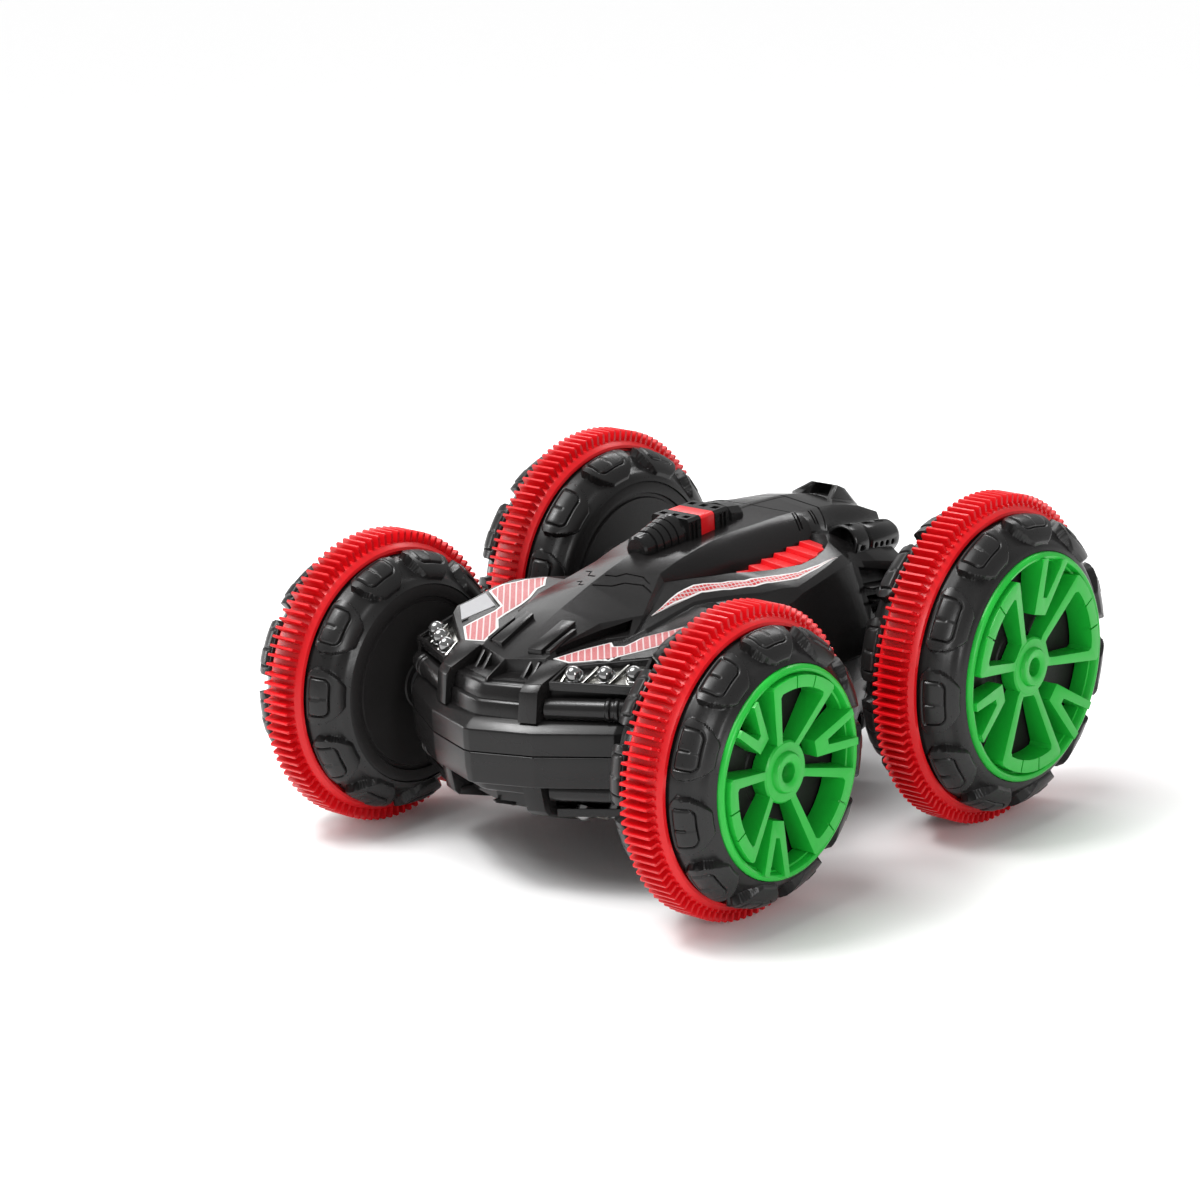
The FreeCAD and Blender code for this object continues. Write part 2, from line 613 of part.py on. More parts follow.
def wheel_screw(w):
    """Pan-head screw through a washer into the axle."""
    end = w.rim_x - 9.5 + 1.2
    head = tube(end + 0.55, end + 2.4, 2.6).fuse(tube(end - 6, end + 1, 1.2))
    slots = box(end + 1.4, end + 3, -1.7, 1.7, -0.3, 0.3).fuse(box(end + 1.4, end + 3, -0.3, 0.3, -1.7, 1.7))
    washer = tube(end + 0.02, end + 0.5, 3.0, 1.25)
    return [head.cut(slots), washer]


def stand_at(shape, y, z):
    """Moves a wheel part, drawn about the X axis, to its axle."""
    shape = shape.copy()
    shape.translate(V(0, y, z))
    return shape


def write_wheel(label, w, y, side):
    """All the parts that turn with one wheel."""
    parts = {"tyre": [tyre(w)], "paddle_ring": [paddle_ring(w)], "wheel_core": [wheel_core(w)],
             "rim": [rim(w)], "axle": [axle(w)], "wheel_screw": wheel_screw(w)}
    for name, shapes in parts.items():
        if side < 0:
            shapes = [mirrored(shape, V(1, 0, 0)) for shape in shapes]
        write(f"{name}_{label}", [stand_at(shape, y, w.ring_r) for shape in shapes])


def on_side(shapes, side):
    shapes = shapes if isinstance(shapes, list) else [shapes]
    shapes = shapes if side > 0 else [mirrored(shape, V(1, 0, 0)) for shape in shapes]
    return [chassis(shape) for shape in shapes]


def build_wheels_and_drives():
    front = Wheel(FRONT_RING_R, FRONT_RING_X, FRONT_RIM_R, FRONT_FINS, FRONT_RIM_DEG)
    rear = Wheel(REAR_RING_R, REAR_RING_X, REAR_RIM_R, REAR_FINS, REAR_RIM_DEG)
    rear_y = FRONT_AXLE_Y + WHEELBASE_Y
    pins, seals = [], []
    for end, w, y, direction in (("f", front, FRONT_AXLE_Y, 1), ("r", rear, rear_y, -1)):
        snout_end = w.inner_x - 1.0
        for hand, side in (("l", 1), ("r", -1)):
            label = end + hand
            write_wheel(label, w, y, side)
            write("output_gear_" + label, on_side(output_gear(direction), side))
            write("reduction_gear_" + label, on_side(reduction_gear(direction), side))
            write("motor_pinion_" + label, on_side(motor_pinion(direction), side))
            write("motor_" + label, on_side(place_gear(motor(), toward(direction)[2]), side))
            write("gearbox_" + label, on_side(gearbox(direction, snout_end), side))
            pins += on_side(gear_pin(direction), side)
            seals += on_side(axle_seal(direction, snout_end), side)
    write("gear_pins", pins)
    write("axle_seals", seals)


def case_screw(x, s, sink):
    """A screw that joins the shells, its head down inside a well in the lower shell."""
    head = Part.makeCylinder(2.4, 1.8, V(x, s, -sink - 1.8), V(0, 0, 1))
    return head.fuse(Part.makeCylinder(SCREW_R, sink + 8, V(x, s, -sink), V(0, 0, 1)))


def build_body():
    upper = half_shell()
    lower = mirrored(upper, V(0, 0, 1))
    wells = []
    screws = []
    sink = 6.0
    for x, s in SCREW_PLACES:
        wells.append(Part.makeCylinder(2.6, 60, V(x, s, -sink - 60), V(0, 0, 1)))
        wells.append(Part.makeCylinder(SCREW_R + 0.1, sink + 1, V(x, s, -sink - 0.5), V(0, 0, 1)))
        screws.append(case_screw(x, s, sink))
    opening = hatch_slab(0, 4, WALL + 3)
    knob_h = crease_h(SWITCH_S)
    slot = box(-2.2, 2.2, SWITCH_S - 2.2, SWITCH_S + 2.2 + SWITCH_TRAVEL, -knob_h - 3, -knob_h + 5)
    lower = lower.cut(Part.makeCompound(wells + [opening, slot]))
    bar_h = crease_h(HATCH_BAR_S) - 2.2
    bar = box(-HATCH_X - 2, HATCH_X + 2, HATCH_BAR_S - 1.8, HATCH_BAR_S + 1.8, -bar_h, -bar_h + 5)
    lower = lower.fuse(bar.cut(Part.makeCylinder(1.02, 8, V(0, HATCH_BAR_S, -bar_h - 1), V(0, 0, 1))))
    write("upper_shell", chassis(largest(upper.Solids)))
    write("lower_shell", chassis(largest(lower.Solids)))
    hatch = hatch_slab(0.25, 0, 1.8)
    top = -crease_h(HATCH_BAR_S)
    hatch = hatch.cut(Part.makeCylinder(1.15, 6, V(0, HATCH_BAR_S, top - 1), V(0, 0, 1)))
    hatch = hatch.cut(Part.makeCylinder(2.1, 2, V(0, HATCH_BAR_S, top - 1.1), V(0, 0, 1)))
    write("battery_hatch", chassis(hatch))
    screw = Part.makeCylinder(1.9, 0.8, V(0, HATCH_BAR_S, top + 0.05), V(0, 0, 1))
    screws.append(screw.fuse(Part.makeCylinder(1.0, 5.5, V(0, HATCH_BAR_S, top + 0.5), V(0, 0, 1))))
    write("battery_pack", chassis(mirrored(battery_pack(), V(0, 0, 1))))
    knob = box(-1.8, 1.8, SWITCH_S - 1.9, SWITCH_S + 1.9, -knob_h - 1.2, -knob_h + 4.4)
    foot = box(-3, 3, SWITCH_S - 3, SWITCH_S + 3, -knob_h + 2.9, -knob_h + 4.4)
    write("power_switch", chassis(knob.fuse(foot)))
    write("case_screws", [chassis(screw) for screw in screws])
    seal = shell_seal().cut([upper, lower])
    write("shell_seal", [chassis(length) for length in seal.Solids if length.Volume > 5])
    write("circuit_board", chassis(circuit_board()))
    for name, shape in (("engine_covers", largest(engine_cover())), ("engine_bands", engine_band())):
        write(name, [chassis(half) for half in up_down(shape)])
    for name, shape in (("side_inserts", side_insert()), ("headlight_reflectors", headlight_reflector()),
                        ("turbine_pods", turbine_pod())):
        write(name, [chassis(part) for half in up_down(shape) for part in left_right(half)])
    leds = [part for led in headlight_leds() for half in up_down(led) for part in left_right(half)]
    write("headlight_leds", [chassis(led) for led in leds])


os.makedirs("parts", exist_ok=True)
build_body()
build_wheels_and_drives()
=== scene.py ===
import json
import math

import bmesh
import bpy
import numpy as np
from mathutils import Matrix, Vector
from mathutils.bvhtree import BVHTree


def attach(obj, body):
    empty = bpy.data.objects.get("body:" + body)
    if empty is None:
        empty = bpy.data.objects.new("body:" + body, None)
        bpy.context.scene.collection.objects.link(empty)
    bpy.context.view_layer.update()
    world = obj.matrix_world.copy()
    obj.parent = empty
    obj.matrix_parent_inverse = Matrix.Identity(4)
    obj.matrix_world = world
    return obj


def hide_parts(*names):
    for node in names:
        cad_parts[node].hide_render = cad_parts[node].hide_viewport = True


# The looks of a double-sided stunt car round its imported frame.
# Sizes are millimetres until a mesh is made. +X is the car's left, -Y its front, +Z up.
# The body is described in a chassis frame (x, s, h): s runs rearward from the front axle and h is the
# height above the plane through both axles.

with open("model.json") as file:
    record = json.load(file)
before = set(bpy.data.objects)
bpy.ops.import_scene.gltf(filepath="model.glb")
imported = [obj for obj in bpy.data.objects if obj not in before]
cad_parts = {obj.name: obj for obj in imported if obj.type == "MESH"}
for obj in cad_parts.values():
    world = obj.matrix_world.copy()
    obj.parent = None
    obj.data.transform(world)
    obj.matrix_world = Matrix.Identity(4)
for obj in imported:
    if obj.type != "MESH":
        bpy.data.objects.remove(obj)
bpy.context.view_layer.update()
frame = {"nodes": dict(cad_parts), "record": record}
NODES = frame["nodes"]
MM = 0.001

FRONT_AXLE_Y = -66.0
WHEELBASE_Y = 126.0
FRONT_RING_R = 52.0
REAR_RING_R = 58.05
TILT = math.atan2(REAR_RING_R - FRONT_RING_R, WHEELBASE_Y)
COS_T, SIN_T = math.cos(TILT), math.sin(TILT)


# ---- meshes ----


def car(x, s, h):
    """A chassis point in the car's frame, in mm."""
    return (x, FRONT_AXLE_Y + s * COS_T - h * SIN_T, FRONT_RING_R + s * SIN_T + h * COS_T)


def make(name, points, faces, smooth_deg=35.0):
    """An object from points in mm in the car's frame, with its faces turned outwards."""
    mesh = bpy.data.meshes.new(name)
    mesh.from_pydata([(x * MM, y * MM, z * MM) for x, y, z in points], [], faces)
    work = bmesh.new()
    work.from_mesh(mesh)
    bmesh.ops.recalc_face_normals(work, faces=work.faces)
    work.to_mesh(mesh)
    work.free()
    piece = bpy.data.objects.new(name, mesh)
    bpy.context.scene.collection.objects.link(piece)
    if smooth_deg:
        smooth(piece, smooth_deg)
    return piece


def smooth(piece, degrees):
    """Smooth shading with sharp edges over an angle."""
    mesh = piece.data
    mesh.shade_smooth()
    mesh.set_sharp_from_angle(angle=math.radians(degrees))


def apply_all(piece):
    """Turns the modifiers of a piece into its mesh."""
    depsgraph = bpy.context.evaluated_depsgraph_get()
    mesh = bpy.data.meshes.new_from_object(piece.evaluated_get(depsgraph))
    old = piece.data
    piece.modifiers.clear()
    piece.data = mesh
    if old.users == 0:
        bpy.data.meshes.remove(old)
    return piece


def bevel(piece, width, segments=2, limit=28.0, smooth_deg=35.0):
    """Rounds the sharp edges of a piece."""
    mod = piece.modifiers.new("edges", "BEVEL")
    mod.width = width * MM
    mod.segments = segments
    mod.limit_method = "ANGLE"
    mod.angle_limit = math.radians(limit)
    mod.use_clamp_overlap = True
    apply_all(piece)
    smooth(piece, smooth_deg)
    return piece


def boolean(piece, others, how):
    """Joins or cuts other pieces, which are then removed."""
    for other in others:
        mod = piece.modifiers.new("cut", "BOOLEAN")
        mod.operation = how
        mod.object = other
        mod.solver = "EXACT"
    apply_all(piece)
    for other in others:
        mesh = other.data
        bpy.data.objects.remove(other)
        bpy.data.meshes.remove(mesh)
    return piece


def strip_faces(rows, columns, wrap_rows=False, wrap_columns=False):
    """Quads over a grid of points stored row by row."""
    faces = []
    for i in range(rows if wrap_rows else rows - 1):
        for j in range(columns if wrap_columns else columns - 1):
            a, b = i * columns + j, i * columns + (j + 1) % columns
            c, d = ((i + 1) % rows) * columns + (j + 1) % columns, ((i + 1) % rows) * columns + j
            faces.append((a, b, c, d))
    return faces


def prism_data(loop, offset):
    """Points and faces of a closed outline carried along an offset."""
    count = len(loop)
    points = [tuple(p) for p in loop]
    points += [(p[0] + offset[0], p[1] + offset[1], p[2] + offset[2]) for p in loop]
    faces = [tuple(range(count))[::-1], tuple(range(count, 2 * count))]
    faces += [(k, (k + 1) % count, count + (k + 1) % count, count + k) for k in range(count)]
    return points, faces


def joined(parts):
    """Several (points, faces) as one."""
    points, faces = [], []
    for some, loops in parts:
        base = len(points)
        points += list(some)
        faces += [tuple(base + k for k in loop) for loop in loops]
    return points, faces


def revolve_data(profile, count):
    """A profile of (x, r) turned about the X axis."""
    points = []
    for n in range(count):
        a = 2 * math.pi * n / count
        points += [(x, r * math.cos(a), r * math.sin(a)) for x, r in profile]
    return points, strip_faces(count, len(profile), wrap_rows=True, wrap_columns=True)


def loft(loops):
    """A closed solid through loops with equal point counts."""
    count = len(loops[0])
    points = [p for loop in loops for p in loop]
    faces = strip_faces(len(loops), count, wrap_columns=True)
    faces.append(tuple(range(count)))
    faces.append(tuple(range(len(points) - count, len(points))))
    return points, faces


# ---- materials ----


def set_inputs(node, values):
    """Sets inputs of a shader node by their names."""
    for socket, value in values.items():
        node.inputs[socket].default_value = value
    return node


def noise(tree, place, scale, detail):
    """The output of a noise texture over the piece's own coordinates."""
    node = set_inputs(tree.nodes.new("ShaderNodeTexNoise"), {"Scale": scale, "Detail": detail})
    tree.links.new(place.outputs["Object"], node.inputs["Vector"])
    return node.outputs["Fac"]


MOTTLE_SCALE, MOTTLE_DETAIL, GRAIN_DETAIL = 70.0, 4.0, 3.0
BUMP_DEPTH = 0.0004             # metres
LEAST_ROUGH, COAT_ROUGH = 0.03, 0.15


def plastic(name, colour, rough, shade=0.12, grain=0.04, grain_size=900.0, rough_spread=0.08,
            metallic=0.0, coat=0.0, shine=0.5):
    """Moulded plastic or metal: slight mottling, uneven gloss and fine surface grain, all from noise."""
    material = bpy.data.materials.new(name)
    material.use_nodes = True
    tree = material.node_tree
    shader = tree.nodes["Principled BSDF"]
    place = tree.nodes.new("ShaderNodeTexCoord")
    mottle = noise(tree, place, MOTTLE_SCALE, MOTTLE_DETAIL)
    fine = noise(tree, place, grain_size, GRAIN_DETAIL)
    ramp = tree.nodes.new("ShaderNodeMix")
    ramp.data_type = "RGBA"
    low = [c * (1 - shade) for c in colour]
    high = [min(c * (1 + shade), 1.0) for c in colour]
    set_inputs(ramp, {"A": (*low, 1), "B": (*high, 1)})
    spread = set_inputs(tree.nodes.new("ShaderNodeMapRange"), {
        "From Min": 0.3, "From Max": 0.7,
        "To Min": max(rough - rough_spread, LEAST_ROUGH), "To Max": rough + rough_spread})
    bump = set_inputs(tree.nodes.new("ShaderNodeBump"), {"Strength": grain, "Distance": BUMP_DEPTH})
    set_inputs(shader, {"Metallic": metallic, "Specular IOR Level": shine, "Coat Weight": coat,
                        "Coat Roughness": COAT_ROUGH})
    for source, target in ((mottle, ramp.inputs["Factor"]),
                           (ramp.outputs["Result"], shader.inputs["Base Color"]),
                           (fine, spread.inputs["Value"]),
                           (spread.outputs["Result"], shader.inputs["Roughness"]),
                           (fine, bump.inputs["Height"]),
                           (bump.outputs["Normal"], shader.inputs["Normal"])):
        tree.links.new(source, target)
    return material


MATERIALS = {
    "tyre_black": plastic("tyre_black", (0.012, 0.0115, 0.0115), 0.30, 0.18, 0.03, 700, 0.03, shine=0.32),
    "ring_red": plastic("ring_red", (0.62, 0.004, 0.008), 0.34, 0.05, 0.02, 600, 0.04, shine=0.35),
    "core_black": plastic("core_black", (0.014, 0.013, 0.013), 0.44, 0.15, 0.08, 1100, 0.05, shine=0.22),
    "rim_green": plastic("rim_green", (0.010, 0.41, 0.034), 0.34, 0.05, 0.02, 600, 0.04, shine=0.4),
    "steel": plastic("steel", (0.60, 0.60, 0.62), 0.28, 0.06, 0.05, 1500, 0.06, metallic=1.0),
    "screw_steel": plastic("screw_steel", (0.42, 0.42, 0.44), 0.35, 0.12, 0.06, 1500, 0.08, metallic=1.0),
    "gear_white": plastic("gear_white", (0.80, 0.80, 0.76), 0.42, 0.04, 0.05, 900, 0.06),
    "brass": plastic("brass", (0.72, 0.50, 0.20), 0.30, 0.08, 0.05, 1500, 0.07, metallic=1.0),
    "motor_steel": plastic("motor_steel", (0.62, 0.62, 0.63), 0.32, 0.06, 0.05, 1500, 0.08, metallic=1.0),
    "case_grey": plastic("case_grey", (0.030, 0.030, 0.032), 0.48, 0.15, 0.10, 1100, 0.06),
    "body_black": plastic("body_black", (0.009, 0.0085, 0.0085), 0.24, 0.15, 0.012, 500, 0.015, shine=0.30),
    "seal_rubber": plastic("seal_rubber", (0.035, 0.035, 0.035), 0.75, 0.20, 0.15, 1200, 0.08),
    "reflector_chrome": plastic("reflector_chrome", (0.62, 0.61, 0.58), 0.16, 0.03, 0.02, 700, 0.04,
                                metallic=1.0),
    "engine_black": plastic("engine_black", (0.008, 0.008, 0.008), 0.20, 0.15, 0.012, 500, 0.015, shine=0.32),
    "trim_red": plastic("trim_red", (0.66, 0.006, 0.010), 0.34, 0.06, 0.04, 900, 0.06),
    "battery_blue": plastic("battery_blue", (0.03, 0.09, 0.32), 0.35, 0.10, 0.06, 600, 0.08),
    "board_green": plastic("board_green", (0.02, 0.20, 0.06), 0.40, 0.12, 0.08, 800, 0.08),
    "switch_black": plastic("switch_black", (0.03, 0.03, 0.03), 0.45, 0.15, 0.10, 1100, 0.06),
    "lens_clear": plastic("lens_clear", (0.22, 0.22, 0.22), 0.10, 0.04, 0.02, 500, 0.03, metallic=0.85,
                          coat=1.0),
}


def dress(piece, body, slot, *replaced):
    """Material, body and stood-for nodes of one new piece."""
    piece.data.materials.clear()
    piece.data.materials.append(MATERIALS[slot])
    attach(piece, body)
    if replaced:
        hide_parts(*replaced)
    return piece


# ---- wheels ----
# Drawn for the left side about the X axis; dx is measured from the middle plane of the paddle ring.

LUGS = 11
PRONG_DEG = 55.0                # from a pair of spokes to the next prong
WHEELS = {
    "front": {"ring_r": FRONT_RING_R, "ring_x": 81.25, "rim_r": 35.2, "fins": 99, "rim_deg": 78.6,
              "lug_deg": (92.0, 76.0), "y": FRONT_AXLE_Y},
    "rear": {"ring_r": REAR_RING_R, "ring_x": 89.7, "rim_r": 40.2, "fins": 110, "rim_deg": 21.5,
             "lug_deg": (83.8, 68.0), "y": FRONT_AXLE_Y + WHEELBASE_Y},
}
FACE_OUT = 20.2                 # tyre side wall outside the ring plane
FACE_IN = 20.4
RIM_OUT = 21.9
RING_HALF = 7.8                 # half width of the ring over its sloping bands


def put_wheel_part(name, data, wheel, side, smooth_deg=35.0):
    """Carries a wheel part from the axle's frame to its place."""
    points, faces = data
    placed = [((wheel["ring_x"] + x) * side, wheel["y"] + y, wheel["ring_r"] + z) for x, y, z in points]
    return make(name, placed, faces, smooth_deg)


def resample(points, steps):
    """A smooth curve through points, at equal steps of length, with the length along it."""
    points = np.array(points, float)
    span = np.r_[0, np.cumsum(np.linalg.norm(np.diff(points, axis=0), axis=1))]
    tangents = np.gradient(points, span, axis=0)
    at = np.linspace(0, span[-1], steps)
    k = np.clip(np.searchsorted(span, at, side="right") - 1, 0, len(span) - 2)
    width = (span[k + 1] - span[k])[:, None]
    u = ((at - span[k])[:, None]) / width
    curve = ((2 * u**3 - 3 * u**2 + 1) * points[k] + (u**3 - 2 * u**2 + u) * width * tangents[k]
             + (-2 * u**3 + 3 * u**2) * points[k + 1] + (u**3 - u**2) * width * tangents[k + 1])
    return curve, at


def step(edge0, edge1, value):
    u = np.clip((value - edge0) / (edge1 - edge0), 0, 1)
    return u * u * (3 - 2 * u)


TREAD_DROP = 7.0                # from the paddle tips down to where a lug's width is measured
BEAD_GAP = 0.25                 # between the rim's edge and the tyre's bead


def lug_mask(arc, t, pitch_mm):
    """1 on a lug, 0 beside it: full width beside the ring, narrower over the shoulder, with a rounded end."""
    half_width = np.interp(t, [-1, 0, 4, 8.0, 11.5, 14.5, 16.5],
                           np.array([0.345, 0.385, 0.385, 0.37, 0.31, 0.22, 0.12]) * pitch_mm)
    inside = np.minimum(half_width - np.abs(arc), np.minimum(t - 0.7, 15.6 - t))
    corner = (half_width - np.abs(arc)) + (t - 0.7) - 2.2
    inside = np.minimum(inside, corner * 0.707)
    return step(-0.35, 0.15, inside)


def lug_groove(arc, t, pitch_mm):
    """Depth of the loop groove on each lug, open towards the ring, with a cross step."""
    loop_half = 0.255 * pitch_mm
    reach, round_r = 9.8, 2.6
    corner_a = np.maximum(np.abs(arc) - (loop_half - round_r), 0)
    corner_t = np.maximum(t - (reach - round_r), 0)
    distance = np.hypot(corner_a, corner_t) - round_r
    start = np.exp(-((t - 1.9) / 0.34) ** 2) * step(loop_half + 0.1, loop_half - 0.4, np.abs(arc))
    groove = np.exp(-(distance / 0.30) ** 2) * step(1.6, 2.2, t)
    bar = np.exp(-((arc - 0.6) / 0.34) ** 2) * step(6.6, 6.0, t) * step(1.8, 2.4, t)
    inner = step(0.2, -0.3, distance) * step(2.2, 2.8, t) * np.where(arc > 0.6, 0.32, 0.05)
    return 0.85 * np.maximum(groove, start) + 0.6 * bar - inner


def tyre_half(wheel, outboard, around, across):
    """Points (row per angle) of one bulging half, from the ring channel to the bead, with its tread."""
    ring_r = wheel["ring_r"]
    face = FACE_OUT if outboard else FACE_IN
    low = wheel["rim_r"] + BEAD_GAP - ring_r
    top = [(6.6, -7.4), (8.2, -6.9), (9.6, -6.2), (12.5, -6.3), (15.2, -7.5), (17.6, -9.6),
           (face - 0.9, -12.4), (face - 0.2, -14.8), (face, low)]
    bottom = [(6.6, -7.8), (8.2, -7.9), (9.6, -8.3), (12.0, -9.2), (14.2, -10.8), (16.4, -12.9),
              (face - 1.7, -14.4), (face - 0.6, -15.8), (face, low)]
    high, along = resample(top, across)
    deep, _ = resample(bottom, across)
    angle = 2 * np.pi * np.arange(around) / around
    first = math.radians(wheel["lug_deg"][0 if outboard else 1])
    pitch = 2 * np.pi / LUGS
    offset = (angle - first + pitch / 2) % pitch - pitch / 2
    arc = offset[:, None] * (ring_r - TREAD_DROP)
    t = along[None, :] - 2.2
    pitch_mm = pitch * (ring_r - TREAD_DROP)
    points = deep[None, :, :] + (high - deep)[None, :, :] * lug_mask(arc, t, pitch_mm)[:, :, None]
    sink = lug_groove(arc, t, pitch_mm)
    normal_x = np.gradient(high[:, 1])
    normal_r = -np.gradient(high[:, 0])
    size = np.hypot(normal_x, normal_r)
    points[:, :, 0] += sink * (normal_x / size)[None, :]
    points[:, :, 1] += sink * (normal_r / size)[None, :]
    radius = ring_r + points[:, :, 1]
    sign = 1 if outboard else -1
    return np.stack([sign * points[:, :, 0], radius * np.cos(angle)[:, None],
                     radius * np.sin(angle)[:, None]], axis=2)


def tyre_data(wheel):
    """Both halves, the channel under the ring and the bead's inner wall, as one closed skin."""
    around, across = LUGS * 60, 64
    inside = tyre_half(wheel, False, around, across)[:, ::-1]
    outside = tyre_half(wheel, True, around, across)
    angle = 2 * np.pi * np.arange(around) / around
    unit = np.stack([np.zeros(around), np.cos(angle), np.sin(angle)], axis=1)

    def ring(dx, r):
        return (unit * r + np.array([dx, 0, 0]))[:, None, :]

    ring_r, bead = wheel["ring_r"], wheel["rim_r"] + BEAD_GAP
    channel = [ring(-6.3, ring_r - 9), ring(6.3, ring_r - 9)]
    back = [ring(FACE_OUT - 1.5, bead - 0.2), ring(FACE_OUT - 1.8, bead + 1.6),
            ring(-FACE_IN + 1.8, bead + 1.6), ring(-FACE_IN + 1.5, bead - 0.2)]
    grid = np.concatenate([inside] + channel + [outside] + back, axis=1)
    points = [tuple(p) for p in grid.reshape(-1, 3)]
    return points, strip_faces(around, grid.shape[1], wrap_rows=True, wrap_columns=True)


def ring_data(wheel):
    """Straight paddles on a band with sloping sides."""
    tip = wheel["ring_r"]
    root = tip - 4.1
    fins = wheel["fins"]
    pitch = 2 * math.pi / fins
    band = [(-RING_HALF, tip - 6.6), (-RING_HALF + 0.3, tip - 5.6), (-6.0, root - 0.1), (-5.6, root + 0.05),
            (5.6, root + 0.05), (6.0, root - 0.1), (RING_HALF - 0.3, tip - 5.6), (RING_HALF, tip - 6.6),
            (5.9, tip - 7.2), (5.9, tip - 8.9), (-5.9, tip - 8.9), (-5.9, tip - 7.2)]
    parts = [revolve_data(band, fins * 3)]
    # Stations across the ring are (place, drop below the tip); the flank of a paddle is (share of its
    # height, half its width in pitches).
    stations = [(-5.75, 0.4), (-5.4, 0.0), (0.0, 0.0), (5.0, 0.0), (5.3, 0.35), (5.45, 3.1), (6.1, 3.3)]
    flank = [(-0.5, -0.22), (-0.1, -0.2), (0.5, -0.165), (0.93, -0.145), (1.0, -0.105)]
    section = flank + [(share, -half) for share, half in reversed(flank)]
    for n in range(fins):
        loops = []
        for dx, drop in stations:
            height = tip - drop - root
            loop = []
            for share, half in section:
                r = root + share * height if share > 0 else root + share
                a = (n + half) * pitch
                loop.append((dx, r * math.cos(a), r * math.sin(a)))
            loops.append(loop)
        parts.append(loft(loops))
    return joined(parts)


def polar(r, degrees):
    a = math.radians(degrees)
    return (r * math.cos(a), r * math.sin(a))


def plate_data(loop, x0, x1, hole=None):
    """A plate across X from an outline of (y, z); a hole has as many points as the outline."""
    count = len(loop)
    if hole is None:
        return prism_data([(x0, y, z) for y, z in loop], (x1 - x0, 0, 0))
    points = [(x, y, z) for x in (x0, x1) for ring in (loop, hole) for y, z in ring]
    faces = []
    for k in range(count):
        n = (k + 1) % count
        faces += [(k, n, count + n, count + k), (2 * count + k, 3 * count + k, 3 * count + n, 2 * count + n),
                  (k, 2 * count + k, 2 * count + n, n),
                  (count + k, count + n, 3 * count + n, 3 * count + k)]
    return points, faces


def sloped(data, x1, centre, inner, outer, dip, rise):
    """Tilts the front of a plate: sunk by dip near the hub and proud by rise at the rim."""
    points, faces = data
    u = polar(1.0, centre)
    moved = []
    for x, y, z in points:
        if x == x1:
            t = (y * u[0] + z * u[1] - inner) / (outer - inner)
            x = x1 - dip + (dip + rise) * min(max(t, 0.0), 1.0)
        moved.append((x, y, z))
    return moved, faces


def petal_data(r, x0, x1, centre):
    """Two straight spokes joined by an outer arc; the hole between them is a wedge."""
    outer = [polar(5.5, centre - 36), polar(0.30 * r, centre - 33.4), polar(0.885 * r, centre - 30.2)]
    outer += [polar(0.91 * r, centre - 28.4 + 56.8 * k / 9) for k in range(10)]
    outer += [polar(0.885 * r, centre + 30.2), polar(0.30 * r, centre + 33.4), polar(5.5, centre + 36)]
    hole = [polar(0.27 * r, centre - 17), polar(0.31 * r, centre - 19.6), polar(0.77 * r, centre - 23.8)]
    hole += [polar(0.80 * r, centre - 22.0 + 44.0 * k / 9) for k in range(10)]
    hole += [polar(0.77 * r, centre + 23.8), polar(0.31 * r, centre + 19.6), polar(0.27 * r, centre + 17)]
    return sloped(plate_data(outer, x0, x1, hole), x1, centre, 0.26 * r, 0.77 * r, 2.6, 1.1)


def prong_data(r, x0, x1, centre):
    """A V of two legs with a blunt inner end, open towards the flange."""
    loop = [polar(0.455 * r, centre + 10.5), polar(0.455 * r, centre - 10.5), polar(0.95 * r, centre - 11.5),
            polar(0.95 * r, centre - 7.2), polar(0.60 * r, centre - 2.6), polar(0.60 * r, centre + 2.6),
            polar(0.95 * r, centre + 7.2), polar(0.95 * r, centre + 11.5)]
    return sloped(plate_data(loop, x0, x1), x1, centre, 0.45 * r, 0.95 * r, 2.2, 1.2)


def rim_collar(back, front):
    """Profile of the hub's outer tube, its inner tube and the lower collar."""
    return [(back + 0.1, 4.0), (back + 0.1, 10.3), (front - 3.0, 10.3), (front - 2.4, 9.7),
            (front - 2.4, 7.0), (front - 1.3, 6.7), (front - 0.8, 6.2), (front - 0.8, 4.1),
            (front - 1.4, 3.3), (back + 0.1, 3.3)]


def rim_ticks(wheel, side):
    """Cutters of the short marks at the outer ends of the spokes."""
    r = wheel["rim_r"]
    ticks = []
    for n in range(3):
        for turn in (-9.5, 8.0):
            angle = wheel["rim_deg"] + 120 * n + turn
            loop = [polar(0.78 * r, angle - 0.6), polar(0.92 * r, angle - 0.5),
                    polar(0.92 * r, angle + 0.5), polar(0.78 * r, angle + 0.6)]
            ticks.append(put_wheel_part("tick", plate_data(loop, RIM_OUT + 0.3, RIM_OUT + 2), wheel, side))
    return ticks


